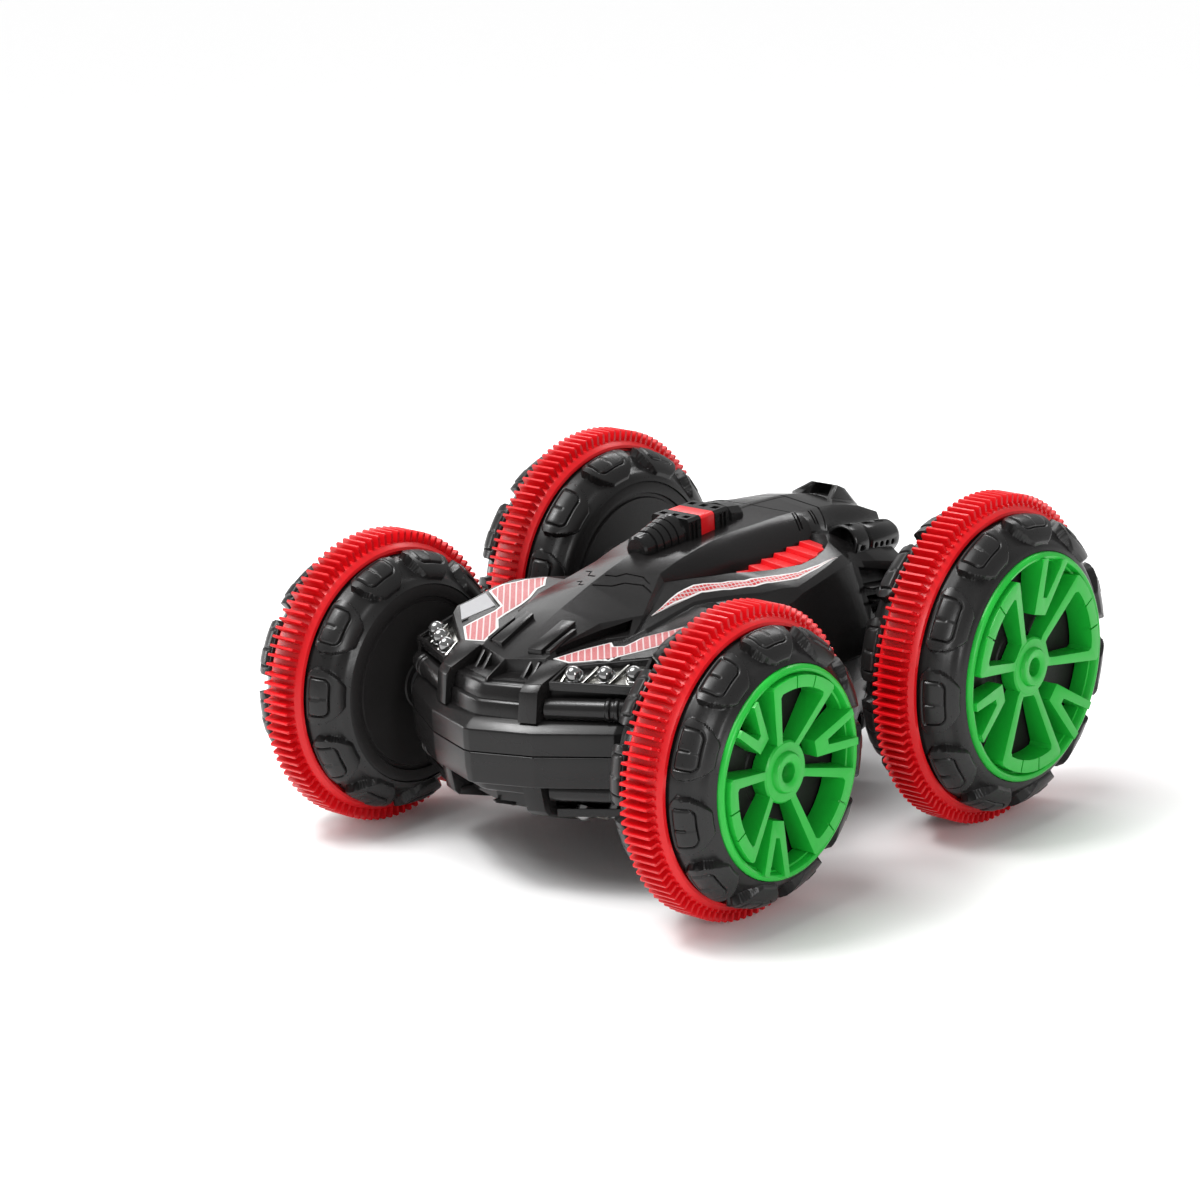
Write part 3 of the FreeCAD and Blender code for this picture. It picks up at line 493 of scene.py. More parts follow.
def make_rim(name, wheel, side):
    """The green trim wheel."""
    r = wheel["rim_r"]
    front, back = RIM_OUT, RIM_OUT - 8.3
    flange = [(back, r - 3.4), (back, r - 1.6), (front - 3.6, r - 1.4), (front - 3.3, r - 0.2),
              (front - 1.4, r), (front - 0.4, r - 0.5), (front, r - 1.3), (front - 0.35, r - 2.2),
              (front - 1.2, r - 2.7), (front - 2.6, r - 2.8), (front - 2.8, r - 3.4)]
    piece = put_wheel_part(name, revolve_data(flange, 144), wheel, side)
    pieces = []
    for n in range(3):
        centre = wheel["rim_deg"] + 120 * n
        petal = petal_data(r, back, front, centre)
        pieces.append(put_wheel_part("petal", petal, wheel, side))
        prong = prong_data(r, back + 0.2, front, centre + PRONG_DEG)
        pieces.append(put_wheel_part("prong", prong, wheel, side))
    pieces.append(put_wheel_part("hub", revolve_data(rim_collar(back, front), 64), wheel, side))
    boolean(piece, pieces, "UNION")
    bevel(piece, 0.4, 3, 40)
    boolean(piece, rim_ticks(wheel, side), "DIFFERENCE")
    smooth(piece, 38)
    return piece


def core_data(wheel):
    """The black drum behind the rim, with the groove on its inner wall."""
    r = wheel["rim_r"] + 0.05
    floor = RIM_OUT - 9.6
    back = -FACE_IN
    profile = [(back, 9.0), (back, r - 6.2), (back + 0.9, r - 5.8), (back + 0.9, r - 4.6), (back, r - 4.2),
               (back - 0.1, r - 1.0), (back + 0.5, r), (RIM_OUT - 3.8, r), (RIM_OUT - 3.8, r - 1.6),
               (floor + 0.4, r - 1.9), (floor, r - 3.0), (floor, 12.4), (floor + 0.5, 12.0),
               (floor + 0.5, 3.2), (floor - 2, 2.2), (back - 0.6, 2.2), (back - 0.6, 8.6)]
    return revolve_data(profile, 128)


def build_wheel(label, wheel, side):
    body = "wheel_" + label
    tyre = put_wheel_part("Tyre_" + label, tyre_data(wheel), wheel, side, 50.0)
    dress(tyre, body, "tyre_black", "tyre_" + label)
    ring = put_wheel_part("PaddleRing_" + label, ring_data(wheel), wheel, side, 30.0)
    dress(ring, body, "ring_red", "paddle_ring_" + label)
    dress(make_rim("Rim_" + label, wheel, side), body, "rim_green", "rim_" + label)
    core = put_wheel_part("WheelCore_" + label, core_data(wheel), wheel, side)
    dress(core, body, "core_black", "wheel_core_" + label)


for label in ("fl", "fr", "rl", "rr"):
    build_wheel(label, WHEELS["front" if label[0] == "f" else "rear"], 1 if label[1] == "l" else -1)

# ---- body ----
# Left half of the upper shell in the chassis frame. The rails of each row: centre crease, hood edge or roof
# edge, foot of the hood or inner edge of the side strip, outer edge of the strip, two points on the fender's
# shoulder and the sill. The parting follows only in rows where it isn't 1 mm outside the sill.

PART_H = 0.15                   # half the gap between the two shells
HULL_ROWS = [
    [(0, -30, 9.5), (15.5, -27, 9.5), (16.2, -26.9, 9.5), (16.8, -26.8, 9.5), (24, -21, 9.5),
     (44, -8, 9.5), (46, -6.5, 5), (48, -5, 0)],
    [(0, -28.4, 21.4), (15.5, -24, 21.4), (16.2, -23.8, 21.4), (16.8, -23.6, 21.4), (24, -19, 21),
     (44, -6, 20.5), (49, -5, 9), (50, -4, 0)],
    [(0, -21.2, 21.6), (14, -16.9, 21.8), (14.7, -16.8, 21.9), (15.4, -16.7, 22), (24, -17.2, 22),
     (44.5, -2, 22), (50, -3, 9), (51, -2, 0)],
    [(0, -20.6, 25.9), (14.2, -16.2, 27.1), (14.8, -16, 26.8), (15.4, -15.6, 26.5), (24.1, -16.2, 26.6),
     (45, 1.8, 28.2), (51, 1, 9)],
    [(0, -5, 31.3), (14.8, -4.8, 30.4), (15.2, -4.6, 28.8), (15.7, -4.4, 27.3), (27, -4, 27.6),
     (46, 5, 29.7), (51, 5, 9)],
    [(0, 8, 35.4), (17.2, 8.1, 33.1), (18.4, 8.1, 30.6), (19.8, 8.0, 28.0), (26.4, 9, 28.2),
     (46, 12, 30.1), (51, 12, 9)],
    [(0, 22.9, 39.8), (23.6, 22.9, 33), (25.2, 19, 30.8), (26.2, 14.4, 28.6), (27.0, 20, 29.4),
     (46, 24, 31.5), (51, 24, 9)],
    [(0, 33, 42.4), (19, 33, 36.8), (20.2, 32, 34.8), (21.4, 31, 32.8), (26.8, 34, 30.8), (45, 33, 31.7),
     (51, 34, 9)],
    [(0, 43.5, 44.7), (14.6, 43, 40.7), (15.5, 43.8, 37.4), (16.2, 44.5, 37.6), (26.4, 46, 31.8),
     (41, 44, 30.6), (51, 44, 9)],
    [(0, 52, 44.8), (14.6, 52, 42.8), (17.6, 52.6, 35.9), (18.6, 53, 36.8), (28.6, 53.5, 31.4),
     (41, 54, 26.4), (51, 54, 9)],
    [(0, 62, 45.5), (14.7, 62, 44.2), (20.2, 62, 34.8), (21.2, 62.2, 35.8), (32.6, 62, 30.9),
     (42.4, 64, 25), (51, 64, 9)],
    [(0, 70, 45.9), (14.8, 70, 45.1), (22.3, 70, 33.6), (23.4, 70.4, 35.0), (37.4, 70.4, 30.3),
     (44.4, 72, 25.6), (51, 72, 9)],
    [(0, 76, 46.1), (14.9, 76, 45.4), (22.8, 75.5, 32.6), (26.8, 77, 34.2), (41, 76.5, 30.7),
     (45.4, 76.5, 26.5), (51, 76, 9)],
    [(0, 82, 46.3), (14.9, 82, 45.6), (23.2, 82, 30.4), (31.2, 84, 33.9), (43.8, 81, 30.4),
     (45.8, 81.5, 28.4), (51, 81, 9)],
    [(0, 93, 46.6), (15, 93, 45.2), (23.6, 93, 30), (36.0, 93.5, 34.0), (43.0, 91, 31.4),
     (45.2, 92, 29.4), (51, 93, 9)],
    [(0, 101, 47.0), (15, 101, 45), (24, 101, 30), (36.2, 100.5, 34.4), (42, 100, 32.4),
     (44.4, 101, 30.2), (51, 101, 9)],
    [(0, 107, 46.9), (15, 107, 44.8), (24.4, 107, 30), (35.2, 107, 35.2), (40.8, 106, 33),
     (43.4, 107, 30.6), (50.6, 107, 9)],
    [(0, 113, 46.6), (15, 113, 44.5), (25, 112.2, 30.4), (33.2, 112.8, 36.6), (39.0, 113, 33),
     (41.6, 114, 30.2), (50, 113, 8.5)],
    [(0, 118, 46.2), (15, 118, 44.1), (23.6, 115.6, 37.4), (28.8, 117, 37.7), (36.8, 118.4, 31.8),
     (38.4, 119.2, 28.6), (49.8, 118, 8.2)],
    [(0, 124, 45.8), (15, 124, 43.4), (22.6, 122.2, 37.0), (26.0, 122.8, 36.2), (36.0, 122.8, 31.4),
     (38.6, 124.4, 27.4), (49.5, 124, 8)],
    [(0, 130.6, 45.0), (15.2, 130.6, 42.4), (20.6, 128.4, 34.8), (24.4, 127.4, 31.6), (36.0, 128.6, 30.6),
     (40.6, 130, 26.4), (49, 130, 7.5)],
    [(0, 139, 43.4), (15.0, 139, 41.3), (19.6, 139, 33), (22.4, 139, 30.4), (35.4, 138, 29.2),
     (42.8, 138, 24.4), (48, 139, 7)],
    [(0, 147, 41.2), (15, 147, 39.3), (18.8, 147, 30), (21.0, 147, 28.4), (34.6, 147, 27.0),
     (41, 147, 21.8), (45.5, 148, 6)],
    [(0, 155, 38.4), (15, 155, 36.8), (18.2, 155, 28), (19.6, 155, 24), (31, 155, 22), (37.2, 154, 18.6),
     (42.5, 155, 5)],
    [(0, 166, 33.4), (14.6, 166, 31.8), (16.4, 165.6, 24), (17.6, 164.6, 18.6), (26, 162, 16.2),
     (33, 160, 14), (38, 160, 5)],
]
HULL_TAIL = [(0, 171.5, 22), (13, 171, 22), (14.6, 170, 18), (15.4, 168, 15), (24, 166, 12), (31, 163, 9),
             (36, 162, 4)]
SIDE_STEPS = 9                  # stretches of the curve down the cabin side
LEDGE_FROM, LEDGE_TO = 10.0, 76.0       # the side strip stands proud of the fender between these
SIDE_ROUND_FROM = 50.0          # behind this the cabin side bulges between the roof edge and its foot


def shape(name, data, smooth_deg=35.0):
    """An object from chassis points."""
    points, faces = data
    return make(name, [car(*p) for p in points], faces, smooth_deg)


def mirror_x(data):
    points, faces = data
    return [(-x, s, h) for x, s, h in points], [tuple(reversed(loop)) for loop in faces]


def flip(data):
    """The same part on the underside."""
    points, faces = data
    return [(x, s, -h) for x, s, h in points], [tuple(reversed(loop)) for loop in faces]


def pair(data):
    """A part and its mirror image."""
    return [data, mirror_x(data)]


def both_sides(data):
    return joined(pair(data))


def with_parting(row):
    """Adds the point at the parting, 1 mm outside the sill, where a row doesn't have its own."""
    x, s, _ = row[-1]
    return row + [(x + 1, s, 0)] if len(row) == 7 else row


def with_cabin_side(row):
    """Adds a curve of points between the roof edge and the foot of the cabin side."""
    edge, foot = row[1], row[2]
    across, down = (0.86, 0.30) if edge[1] > SIDE_ROUND_FROM else (0.5, 0.5)
    bend = [edge[0] + across * (foot[0] - edge[0]), (edge[1] + foot[1]) / 2,
            edge[2] + down * (foot[2] - edge[2])]
    curve = []
    for k in range(1, SIDE_STEPS):
        t = k / SIDE_STEPS
        shares = ((1 - t) ** 2, 2 * t * (1 - t), t * t)
        curve.append(tuple(sum(share * v for share, v in zip(shares, abc)) for abc in zip(edge, bend, foot)))
    rim, outer = row[4], row[5]
    if LEDGE_FROM < rim[1] < LEDGE_TO:
        step_down = (rim[0] + 0.8, rim[1], rim[2] - 1.2)
    else:
        step_down = tuple(a + (b - a) * 0.06 for a, b in zip(rim, outer))
    return row[:2] + curve + row[2:5] + [step_down] + row[5:]


def hull_data():
    """The skin of one shell, closed at the parting, the nose and the tail."""
    rows = []
    for row in HULL_ROWS + [HULL_TAIL]:
        rows.append(with_cabin_side([(x, s, max(h, PART_H)) for x, s, h in with_parting(row)]))
    foot = [(x, s, PART_H) for x, s, _ in rows[0]]
    back = [(x, s, PART_H) for x, s, _ in rows[-1]]
    loops = []
    for row in [foot] + rows + [back]:
        loops.append([(-x, s, h) for x, s, h in reversed(row[1:])] + row)
    return loft(loops)


class Skin:
    """Heights of the bare hull, for parts that lie on it."""

    def __init__(self):
        points, faces = hull_data()
        triangles = []
        for f in faces:
            triangles += [(f[0], f[k], f[k + 1]) for k in range(1, len(f) - 1)]
            if len(f) == 4:         # a twisted face may be split along either diagonal; the higher one counts
                triangles += [(f[1], f[2], f[3]), (f[1], f[3], f[0])]
        self.tree = BVHTree.FromPolygons([Vector(p) for p in points], triangles)

    def h(self, x, s):
        hit = self.tree.ray_cast(Vector((x, s, 90)), Vector((0, 0, -1)))[0]
        return hit.z if hit else 20.0


SKIN = Skin()


def groove_data(line, width=0.7, depth=0.6):
    """A cutter along a line of (x, s) on the hull."""
    fine = [line[0]]
    for (x0, s0), (x1, s1) in zip(line, line[1:]):
        count = max(1, round(math.dist((x0, s0), (x1, s1)) / 4))
        for k in range(1, count + 1):
            fine.append((x0 + (x1 - x0) * k / count, s0 + (s1 - s0) * k / count))
    loops = []
    for k, (x, s) in enumerate(fine):
        before, after = fine[max(k - 1, 0)], fine[min(k + 1, len(fine) - 1)]
        dx, ds = after[0] - before[0], after[1] - before[1]
        size = math.hypot(dx, ds)
        nx, ns = -ds / size * width / 2, dx / size * width / 2
        h = SKIN.h(x, s)
        loops.append([(x + nx, s + ns, h + 3), (x - nx, s - ns, h + 3), (x - nx, s - ns, h - depth),
                      (x + nx, s + ns, h - depth)])
    return loft(loops)


PLATE_SINK = 0.8                # how far a raised panel reaches into the hull


def plate_on_hull(outline, rise):
    """A raised flat panel on the hull, from an outline of (x, s)."""
    top = [(x, s, SKIN.h(x, s) + rise) for x, s in outline]
    return prism_down(top, rise + PLATE_SINK)


def prism_down(top, depth):
    return prism_data(top, (0, 0, -depth))


def hexahedron(bottom, top):
    """A block between two four-sided loops."""
    points = list(bottom) + list(top)
    faces = [(3, 2, 1, 0), (4, 5, 6, 7)] + [(k, (k + 1) % 4, 4 + (k + 1) % 4, 4 + k) for k in range(4)]
    return points, faces


def block(x0, x1, s0, s1, h0, h1):
    return hexahedron([(x0, s0, h0), (x1, s0, h0), (x1, s1, h0), (x0, s1, h0)],
                      [(x0, s0, h1), (x1, s0, h1), (x1, s1, h1), (x0, s1, h1)])


def belt_data(lower):
    """The bumper belt round a V plan with a blunt tip; the lower one has a tall plain face."""
    outer = [(1.3, -41.3), (22.7, -34), (46, -20), (53, -10.5), (53.2, 3)]

    def plan(step_in, h):
        left = [(x - 0.25 * step_in, s + step_in) for x, s in outer]
        line = left + [(44, 3), (40, -8), (20, -24), (1.3, -28)]
        return [(x, s, h) for x, s in line] + [(-x, s, h) for x, s in reversed(line)]
    if lower:
        return loft([plan(0, PART_H), plan(0, 5.7), plan(0.7, 11.1), plan(3.2, 12)])
    return loft([plan(0, PART_H), plan(0, 5.7), plan(0.2, 7.8), plan(3.0, 10.1), plan(4.6, 10.9)])


def v_bar(front_s, top_s, h0, h1, reach):
    """One bar of the grille: a face and a ledge behind its top edge, across the V."""
    slope = 4.6 / 16.4

    def across_v(s_mid, blunt):
        return [(-reach, s_mid + slope * reach), (-1.3, s_mid + blunt), (1.3, s_mid + blunt),
                (reach, s_mid + slope * reach)]

    def loop(h, s_front, s_back):
        return [(x, s, h) for x, s in across_v(s_front, 0.2) + across_v(s_back, 0)[::-1]]
    back_s = front_s + 7
    return loft([loop(h0, front_s, back_s), loop(h1 - 0.7, top_s, back_s), loop(h1, top_s + 0.8, back_s)])


TRAY_OUT = [(23.7, -25.3, 23.5), (50.6, -11.2, 22.5), (45.2, 2.6, 28.1), (23.6, -15.9, 27.0)]
TRAY_IN = [(24.5, -23.8, 23.7), (48.9, -10.9, 22.9), (44.6, 0.8, 27.5), (24.5, -17.0, 26.6)]
TRAY_SINK = 1.9


def tray_frame():
    """The moulded surround of one headlight tray."""
    down = [(x, s, h - 2.9) for x, s, h in TRAY_OUT]
    floor_in = [(x, s, h - 2.9) for x, s, h in TRAY_IN]
    points = TRAY_OUT + TRAY_IN + floor_in + down
    faces = []
    for k in range(4):
        n = (k + 1) % 4
        for ring in range(4):
            a, b = 4 * ring, 4 * ((ring + 1) % 4)
            faces.append((a + k, a + n, b + n, b + k))
    return points, faces


def nose_parts():
    """The post, the arm above it, the tray frame and the side wall, left side."""
    post = loft([[(16.4, -33.6, 10.6), (22.6, -31.4, 10.6), (22.6, -24, 10.6), (16.4, -24, 10.6)],
                 [(16.4, -31.9, 20.6), (22.6, -29.7, 20.6), (22.6, -24, 20.6), (16.4, -24, 20.6)],
                 [(16.6, -29.8, 22.7), (22.4, -27.4, 23.0), (22.6, -23, 22.8), (16.4, -23, 22.8)]])
    arm = hexahedron([(16.2, -29.3, 20), (22.6, -27, 20), (24.3, -15.5, 22), (14.8, -15.5, 22)],
                     [(16.4, -29.5, 22.7), (22.5, -27.2, 23.2), (24.2, -15.8, 27.4), (14.7, -16.1, 27.3)])
    frame_part = tray_frame()
    side_wall = hexahedron([(46.5, -13.5, 9), (50.5, -11.3, 9), (50.5, 4, 9), (46.5, 4, 9)],
                           [(46.8, -13.2, 21.5), (50.6, -11.2, 21.5), (47, 3, 24), (44, 3, 24)])
    return [post, arm, frame_part, side_wall]


def axes_of(start, end):
    """The unit direction of a line and two directions across it."""
    along = (Vector(end) - Vector(start)).normalized()
    one = along.cross(Vector((0, 0, 1))).normalized()
    return along, one, along.cross(one)


def circle(centre, one, two, r, count):
    points = []
    for k in range(count):
        turn = 2 * math.pi * k / count
        points.append(tuple(centre + (one * math.cos(turn) + two * math.sin(turn)) * r))
    return points


def tube_between(a, b, radii, count=24):
    """A round bar from a to b; radii is a list of (share of the way, radius)."""
    _, one, two = axes_of(a, b)
    return loft([circle(Vector(a).lerp(Vector(b), share), one, two, r, count) for share, r in radii])


HOOD_RIBS = [
    ([(5.9, -15.6), (6.4, 1.5), (11.2, 3.0), (11.2, -14.6)], 1.6),
    ([(12.5, -14.0), (12.7, -1.0), (14.0, 0.2), (14.1, -13.6)], 1.3),
]
HOOD_LINES = [
    [(0.9, 23.6), (6.2, 27.4), (8.6, 31.5), (14.0, 34.6), (18.6, 33.4)],
    [(0.9, 30.2), (4.2, 32.2), (5.8, 35.6), (11.2, 38.0), (15.2, 36.6)],
]
SEAMS = [
    [(9.9, 27.5), (7.0, 27.0), (6.4, 24.6), (3.6, 23.8)],
    [(12.8, 35.6), (9.2, 34.4), (7.8, 31.2), (3.0, 29.4)],
]
ROOF_GAP = [(0.0, 128.6), (15.2, 130.4), (20.6, 127.4), (23.6, 124.6)]
ROOF_PANEL = [(0.6, 109.3), (9.7, 112.6), (15.0, 115.0)]
ROOF_INNER = [(1.2, 78), (1.4, 109.0), (1.6, 128.0)]
SIDE_SLOTS = [[(15.4, 115.0), (21.4, 111.6)], [(16.2, 123.2), (21.8, 120.2)]]


def hull_cutters():
    """Everything cut out of the hull."""
    intake = hexahedron([(13.0, -11, 26.9), (17.0, -12.0, 26.9), (26.0, 12.6, 28.75), (18.5, 21, 28.9)],
                        [(13.0, -11, 28.9), (17.0, -12.0, 28.9), (28.2, 11.6, 32.3), (20.0, 22, 32.5)])
    cutters = pair(intake)
    cutters += [groove_data(line) for line in HOOD_LINES]
    cutters += [mirror_x(groove_data(line)) for line in SEAMS]
    for line, width, depth in ((ROOF_GAP, 0.9, 0.9), (ROOF_PANEL, 0.5, 0.45), (ROOF_INNER, 0.45, 0.4)):
        cutters += pair(groove_data(line, width, depth))
    for line in SIDE_SLOTS:
        for shift in (0.0, 1.5):
            cutters += pair(groove_data([(x, s + shift) for x, s in line], 0.7, 1.8))
    louvre = hexahedron([(42.6, 117, 11.5), (60, 116, 11.5), (60, 146, 9), (40.4, 146, 9)],
                        [(36.6, 121.5, 26.2), (60, 119, 26.2), (60, 146, 18.5), (36.2, 146, 18.5)])
    return cutters + pair(louvre)


def nose_fins():
    """The keel on the middle of the nose and the small fins beside it."""
    keel = hexahedron([(-0.7, -30.5, 20.9), (0.7, -30.5, 20.9), (0.7, -20.2, 21), (-0.7, -20.2, 21)],
                      [(-0.35, -29.5, 22.2), (0.35, -29.5, 22.2), (0.35, -20.2, 26.2), (-0.35, -20.2, 26.2)])
    parts = [keel]
    for x in (9.0, 12.4):
        foot = [(x - 0.9, -23, 21), (x + 0.9, -23, 21), (x + 0.9, -17, 21), (x - 0.9, -17, 21)]
        top = [(x - 0.7, -20.4, 23.4), (x + 0.7, -20.2, 23.4), (x + 0.7, -17.5, 26.2), (x - 0.7, -17.5, 26.2)]
        parts.append(both_sides(hexahedron(foot, top)))
    return parts


TUBE_R, CLAMP_R = 3.8, 4.2


def side_tube():
    """The round bar under a headlight tray, with two clamps."""
    radii = [(0, TUBE_R)]
    for share in (0.70, 0.80):
        radii += [(share, TUBE_R), (share + 0.01, CLAMP_R), (share + 0.05, CLAMP_R), (share + 0.06, TUBE_R)]
    radii.append((1, TUBE_R))
    return tube_between((22, -25.4, 14.2), (48, -11.9, 14.2), radii)


def scoop_data():
    """The air scoop behind the roof."""
    return loft([[(-9.4, 146.5, 38), (-9.4, 146.5, 41.2), (-6.2, 154.2, 43.6), (6.0, 154.2, 43.6),
                  (9.4, 146.5, 41.2), (9.4, 146.5, 38)],
                 [(-9.2, 159, 33), (-8.8, 159, 37.0), (-5.0, 159.6, 41.0), (5.0, 159.6, 41.0),
                  (8.8, 159, 37.0), (9.2, 159, 33)],
                 [(-6.5, 166, 28), (-6, 166, 33.2), (-3.2, 166.5, 35.0), (3.2, 166.5, 35.0),
                  (6, 166, 33.2), (6.5, 166, 28)]])


def louvre_blade(k):
    """One of the two blades in the opening at the rear corner."""
    h = 19.4 - 4.6 * k
    bottom = [(40, 119, h), (47.2 + k, 119, h), (45.4 + k, 143, h - 4), (38, 143, h - 4)]
    top = [(40, 119, h + 0.9), (47.0 + k, 119, h + 0.9), (45.2 + k, 143, h - 3.1), (38, 143, h - 3.1)]
    return hexahedron(bottom, top)


def hull_extras():
    """Solids that stand on the hull."""
    parts = [both_sides(part) for part in nose_parts()]
    parts.append(v_bar(-35.9, -34.6, 9.5, 16.0, 16.6))
    parts.append(v_bar(-33.4, -31.8, 16.0, 20.9, 16.6))
    parts += [both_sides(plate_on_hull(outline, rise)) for outline, rise in HOOD_RIBS]
    parts += nose_fins()
    parts.append(both_sides(side_tube()))
    parts.append(scoop_data())
    parts += [both_sides(louvre_blade(k)) for k in range(2)]
    return parts


def scoop_mouth():
    return hexahedron([(-5.4, 144.5, 41.3), (5.4, 144.5, 41.3), (5.0, 157, 38.8), (-5.0, 157, 38.8)],
                      [(-4.2, 149, 46.0), (4.2, 149, 46.0), (4.0, 156.4, 42.4), (-4.0, 156.4, 42.4)])


HATCH_HALF, HATCH_FROM, HATCH_TO, HATCH_DEEP = 13.2, -5.2, 47.7, 2.0
SWITCH_PLACE = 108.0
SCREW_PLACES = [(0, -18), (39, 52), (-39, 52), (39, 76), (-39, 76), (0, 150)]


CUTTER_H = -60.0                # the cutters start well outside the lower shell


def lower_openings():
    """Cuts for the battery hatch, the switch and the case screws."""
    line = [(-HATCH_HALF, s, -SKIN.h(0, s) + HATCH_DEEP) for s in (HATCH_FROM, 12, 43.5, HATCH_TO)]
    line += [(-HATCH_HALF, HATCH_TO, CUTTER_H), (-HATCH_HALF, HATCH_FROM, CUTTER_H)]
    cuts = [prism_data(line, (2 * HATCH_HALF, 0, 0))]
    top = -SKIN.h(0, SWITCH_PLACE)
    cuts.append(block(-2.3, 2.3, SWITCH_PLACE - 2.3, SWITCH_PLACE + 5.3, top - 3, top + 4.5))
    for x, s in SCREW_PLACES:
        cuts.append(tube_between((x, s, CUTTER_H), (x, s, -7.9), [(0, 2.8), (1, 2.8)]))
    return cuts


def shell_piece(name, lower):
    """One body shell."""
    turn = flip if lower else (lambda data: data)
    hull = shape(name, turn(hull_data()))
    bevel(hull, 0.45, 2, 13, 15)
    cutters = [shape("cut", turn(data)) for data in hull_cutters()]
    if lower:
        cutters += [shape("cut", data) for data in lower_openings()]
    boolean(hull, cutters, "DIFFERENCE")
    extras = shape("extras", turn(joined(hull_extras())))
    bevel(extras, 0.4, 2, 30, 30)
    scoop_cut = shape("cut", turn(scoop_mouth()))
    boolean(extras, [scoop_cut], "DIFFERENCE")
    belt = shape("belt", turn(belt_data(lower)))
    bevel(belt, 0.45, 3, 12, 20)
    smooth(hull, 14)
    with bpy.context.temp_override(active_object=hull, selected_editable_objects=[hull, extras, belt]):
        bpy.ops.object.join()
    return hull


for name, lower, node in (("UpperShell", False, "upper_shell"), ("LowerShell", True, "lower_shell")):
    dress(shell_piece(name, lower), "chassis", "body_black", node)


# ---- parts on the body ----


def turned_rings(start, end, profile, count):
    """Circles about the line from start to end, one for each (distance, radius)."""
    along, one, two = axes_of(start, end)
    return [circle(Vector(start) + along * distance, one, two, r, count) for distance, r in profile]


def turned(start, end, profile, count):
    """A body turned about the line from start to end; the profile is a closed loop of (distance, radius)."""
    points = [p for ring in turned_rings(start, end, profile, count) for p in ring]
    return points, strip_faces(len(profile), count, wrap_rows=True, wrap_columns=True)


def solid_turned(start, end, profile, count):
    """The same with flat ends instead of a bore."""
    return loft(turned_rings(start, end, profile, count))


ENGINE_FROM, ENGINE_FOOT = 50.0, 44.0
BLOCK_HALF = 8.5
BLOCK_TOP = 52.9


def chamfered_block(half, s0, s1, h0, h1, edge=1.2):
    """A block with its two long top edges cut off."""
    return loft([[(-half, s, h0), (-half, s, h1 - edge), (-half + edge, s, h1), (half - edge, s, h1),
                  (half, s, h1 - edge), (half, s, h0)] for s in (s0, s1)])


def engine_nose():
    """The ribbed, turned nose of the engine."""
    profile = [(-1.0, 3.9), (-0.4, 4.8), (3.0, 5.3), (3.1, 4.8), (4.2, 4.9)]
    for n in range(4):
        r, d = 5.5 + 0.52 * n, 4.3 + 3.2 * n
        profile += [(d, r), (d + 2.3, r + 0.5), (d + 2.4, r - 0.1), (d + 3.1, r)]
    profile.append((18.0, 7.2))
    return solid_turned((0, ENGINE_FROM - 1.2, 45.6), (0, ENGINE_FROM + 17, 46.6), profile, 36)


def tail_rib(n):
    """One of the three ribs of the engine's tail, each lower and narrower than the one before it."""
    s0 = ENGINE_FROM + 38 + 3.5 * n
    loops = []
    for s, drop in ((s0 - 0.5, 0), (s0 + 3.0, 0.55), (s0 + 3.1, 1.3), (s0 + 3.6, 1.35)):
        half, top = 7.9 - 0.45 * n - 0.4 * drop, 51.9 - 0.75 * n - drop
        loops.append([(-half, s, ENGINE_FOOT), (-half, s, top - 2.2), (-half + 1.8, s, top),
                      (0, s + 1.2, top + 0.25), (half - 1.8, s, top), (half, s, top - 2.2),
                      (half, s, ENGINE_FOOT)])
    return loft(loops)


def engine_data():
    """Ribbed nose, two slotted blocks and a ribbed tail."""
    front = chamfered_block(BLOCK_HALF, ENGINE_FROM + 16.4, ENGINE_FROM + 23, ENGINE_FOOT, BLOCK_TOP, 1.0)
    rear = chamfered_block(BLOCK_HALF, ENGINE_FROM + 30.6, ENGINE_FROM + 38, ENGINE_FOOT, BLOCK_TOP - 0.5,
                           1.0)
    core = chamfered_block(7.2, ENGINE_FROM + 17, ENGINE_FROM + 37.5, ENGINE_FOOT, 50.3, 0.8)
    return joined([engine_nose(), front, rear, core] + [tail_rib(n) for n in range(3)])


def engine_slots():
    """Three slots in the top of each block and two down each of its sides."""
    cuts = []
    for s0, s1, top in ((ENGINE_FROM + 17.6, ENGINE_FROM + 20.6, BLOCK_TOP),
                        (ENGINE_FROM + 33.2, ENGINE_FROM + 36.4, BLOCK_TOP - 0.5)):
        for x in (-5.2, 0.0, 5.2):
            low = [(x - 1.2, s0 + 0.4), (x + 1.2, s0 + 0.4), (x + 1.2, s1 - 0.4), (x - 1.2, s1 - 0.4)]
            high = [(x - 1.5, s0), (x + 1.5, s0), (x + 1.5, s1), (x - 1.5, s1)]
            cuts.append(hexahedron([(*p, top - 1.2) for p in low], [(*p, top + 1) for p in high]))
        for side in (-1, 1):
            x0, x1 = sorted((side * 7.8, side * 12))
            for start in (-0.2, 1.9):
                cuts.append(block(x0, x1, s0 + start, s0 + start + 1.4, ENGINE_FOOT, top - 1.6))
    return cuts


def band_data():
    return chamfered_block(8.3, ENGINE_FROM + 23.0, ENGINE_FROM + 30.6, ENGINE_FOOT, 52.5, 0.9)


POD_FRONT, POD_BACK = (30.4, 123.4, 32.6), (29.4, 153.4, 28.3)


def pod_data():
    """Drum with a thick lip, an open mouth and a ring groove."""
    profile = [(7.0, 0.4), (7.0, 4.9), (1.2, 5.4), (0.2, 5.9), (0.0, 6.5), (0.5, 7.0), (7.6, 7.0), (8.2, 6.4),
               (9.0, 5.7), (10.2, 5.7), (10.5, 6.6), (27.2, 6.3), (29.2, 5.4), (30.2, 3.8), (30.2, 0.4)]
    return turned(POD_FRONT, POD_BACK, profile, 40)


